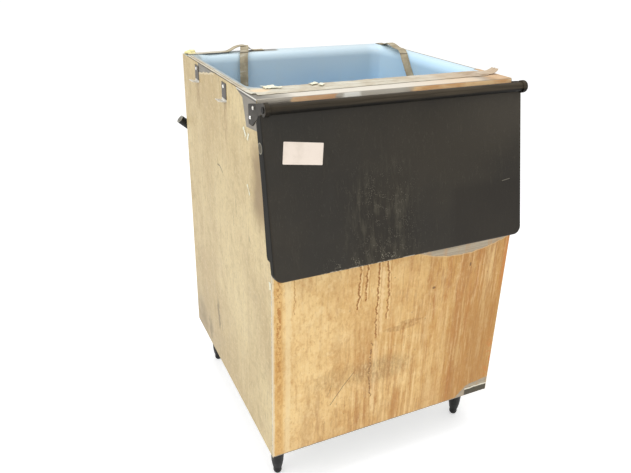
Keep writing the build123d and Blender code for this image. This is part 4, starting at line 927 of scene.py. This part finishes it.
def white_plastic():
    """Off-white rigid drain plastic, yellowed in patches."""
    white = Finish("drain_plastic", Specular_IOR_Level=0.5)
    stain = white.noise(35, 4.0)
    white.base(stain.step(0.45, 0.70) * 0.6, (226, 224, 214), (190, 180, 156))
    white.feed(Base_Color=white.colour, Roughness=stain * 0.3 + 0.25,
               Normal=white.bump(white.noise(300), 0.1, 0.0003))
    white.cover("drain_fitting", "drain_pipe")


def tag_paper():
    """The bare paper of the tag: fibres and faint grubby patches."""
    paper = Finish("tag_paper", Specular_IOR_Level=0.2)
    fibre = paper.grain(500, 500, 900, detail=4.0)
    shade = paper.noise(22, 4.0)
    paper.base(shade.step(0.42, 0.68), (244, 230, 216), (232, 218, 203))
    paper.paint(fibre.step(0.55, 0.72) * 0.35, (216, 202, 186))
    paper.feed(Base_Color=paper.colour, Roughness=shade * 0.2 + 0.7, Normal=paper.bump(fibre, 0.2, 0.0002))
    paper.cover("lot_tag")


def scrap_finish():
    """Milky torn film."""
    film = Finish("film_scrap", Specular_IOR_Level=0.5)
    cloud = film.noise(70, 4.0)
    film.base(cloud.step(0.50, 0.70) * 0.5, (238, 236, 212), (228, 196, 138))
    film.feed(Base_Color=film.colour, Roughness=cloud * 0.3 + 0.3, Normal=film.bump(cloud, 0.4, 0.0006))
    return film


def finishes():
    """Every finish that covers CAD nodes."""
    side_film()
    front_film()
    header_steel()
    hook_steel()
    steel_finish("bracket_steel", (46, 41, 35), (72, 66, 57), 0.30, (36, 31, 25),
                 "hinge_bracket_left", "hinge_bracket_right")
    steel_finish("pin_steel", (24, 22, 19), (44, 40, 34), 0.42, (18, 16, 13),
                 "hinge_pin_left", "hinge_pin_right")
    steel_finish("clip_steel", (150, 146, 136), (186, 181, 170), 0.18, (120, 108, 88),
                 "hose_clamp", "hose_clips")
    steel_finish("screw_steel", (240, 238, 232), (250, 249, 246), 0.12, (196, 188, 170),
                 "hinge_bracket_screws", "scoop_hook_screws", "hose_clip_screws", "back_panel_screws",
                 "door_panel_screws")
    galvanised()
    liner_plastic()
    door_plastic()
    moulded_black("roll_plastic", (14, 12, 8), (42, 37, 28), 0.34, "hinge_roll", "roll_bush_left",
                  "roll_bush_right", shine=0.12)
    moulded_black("leg_plastic", (18, 18, 18), (46, 44, 40), 0.28, *LEGS_AND_FEET, "door_bumpers",
                  "drain_nut")
    moulded_black("frame_trim_plastic", (70, 72, 72), (120, 120, 114), 0.35, "door_frame_trim")
    foam_finish("insulation", (240, 222, 160), (222, 192, 112), "foam_left", "foam_right", "foam_back",
                "foam_front", "foam_floor", "foam_header", "door_foam")
    white_plastic()
    tag_paper()


def studio_floor():
    """A pale matt floor that looks white to the camera and in reflections."""
    shape = bmesh.new()
    bmesh.ops.create_grid(shape, x_segments=1, y_segments=1, size=FLOOR_SIZE)
    mesh = bpy.data.meshes.new("studio_floor")
    shape.to_mesh(mesh)
    shape.free()
    add_object("studio_floor", mesh)
    pale = Finish("studio_floor", Base_Color=FLOOR_GREY, Roughness=0.9, Specular_IOR_Level=0.1,
                  Emission_Strength=FLOOR_GLOW)
    seen = pale.add("LightPath", out="Is Camera Ray").most(pale.add("LightPath", out="Is Glossy Ray"))
    pale.feed(Emission_Color=pale.tint(seen, (0, 0, 0), (255, 255, 255)))
    mesh.materials.append(pale.material)


def studio_light():
    """White light from all round, a little brighter where the camera sees it, and three soft lamps."""
    world = bpy.data.worlds.new("studio_light")
    bpy.context.scene.world = world
    world.use_nodes = True
    tree = world.node_tree
    colour, strength = tree.nodes["Background"].inputs[:2]
    colour.default_value = (1.0, 1.0, 1.0, 1.0)
    ray, level = tree.nodes.new("ShaderNodeLightPath"), tree.nodes.new("ShaderNodeMath")
    level.operation = "MULTIPLY_ADD"
    tree.links.new(ray.outputs["Is Camera Ray"], level.inputs[0])
    level.inputs[1].default_value = WORLD_SEEN_EXTRA
    level.inputs[2].default_value = WORLD_LIGHT
    tree.links.new(level.outputs[0], strength)
    for name, where, size, power in LAMPS:
        light = bpy.data.lights.new(name, "AREA")
        light.size = size
        light.energy = power
        lamp = add_object(name, light)
        lamp.location = where
        lamp.rotation_euler = (LAMP_TARGET - Vector(where)).to_track_quat("-Z", "Y").to_euler()


bpy.context.scene.view_settings.view_transform = "Standard"
camera()
drain_hose(moulded_black("hose_rubber", (20, 20, 20), (52, 50, 46), 0.3))
finishes()
gaskets(
    tape_finish("rim_tape", (203, 198, 182), (186, 175, 154), (156, 138, 112), 0.8),
    tape_finish("old_tape", (176, 164, 138), (146, 133, 108), (104, 92, 72), 0.6),
)
scraps(scrap_finish())
foam_lump(foam_finish("swelled_foam", (248, 243, 204), (236, 224, 164)))
studio_floor()
studio_light()
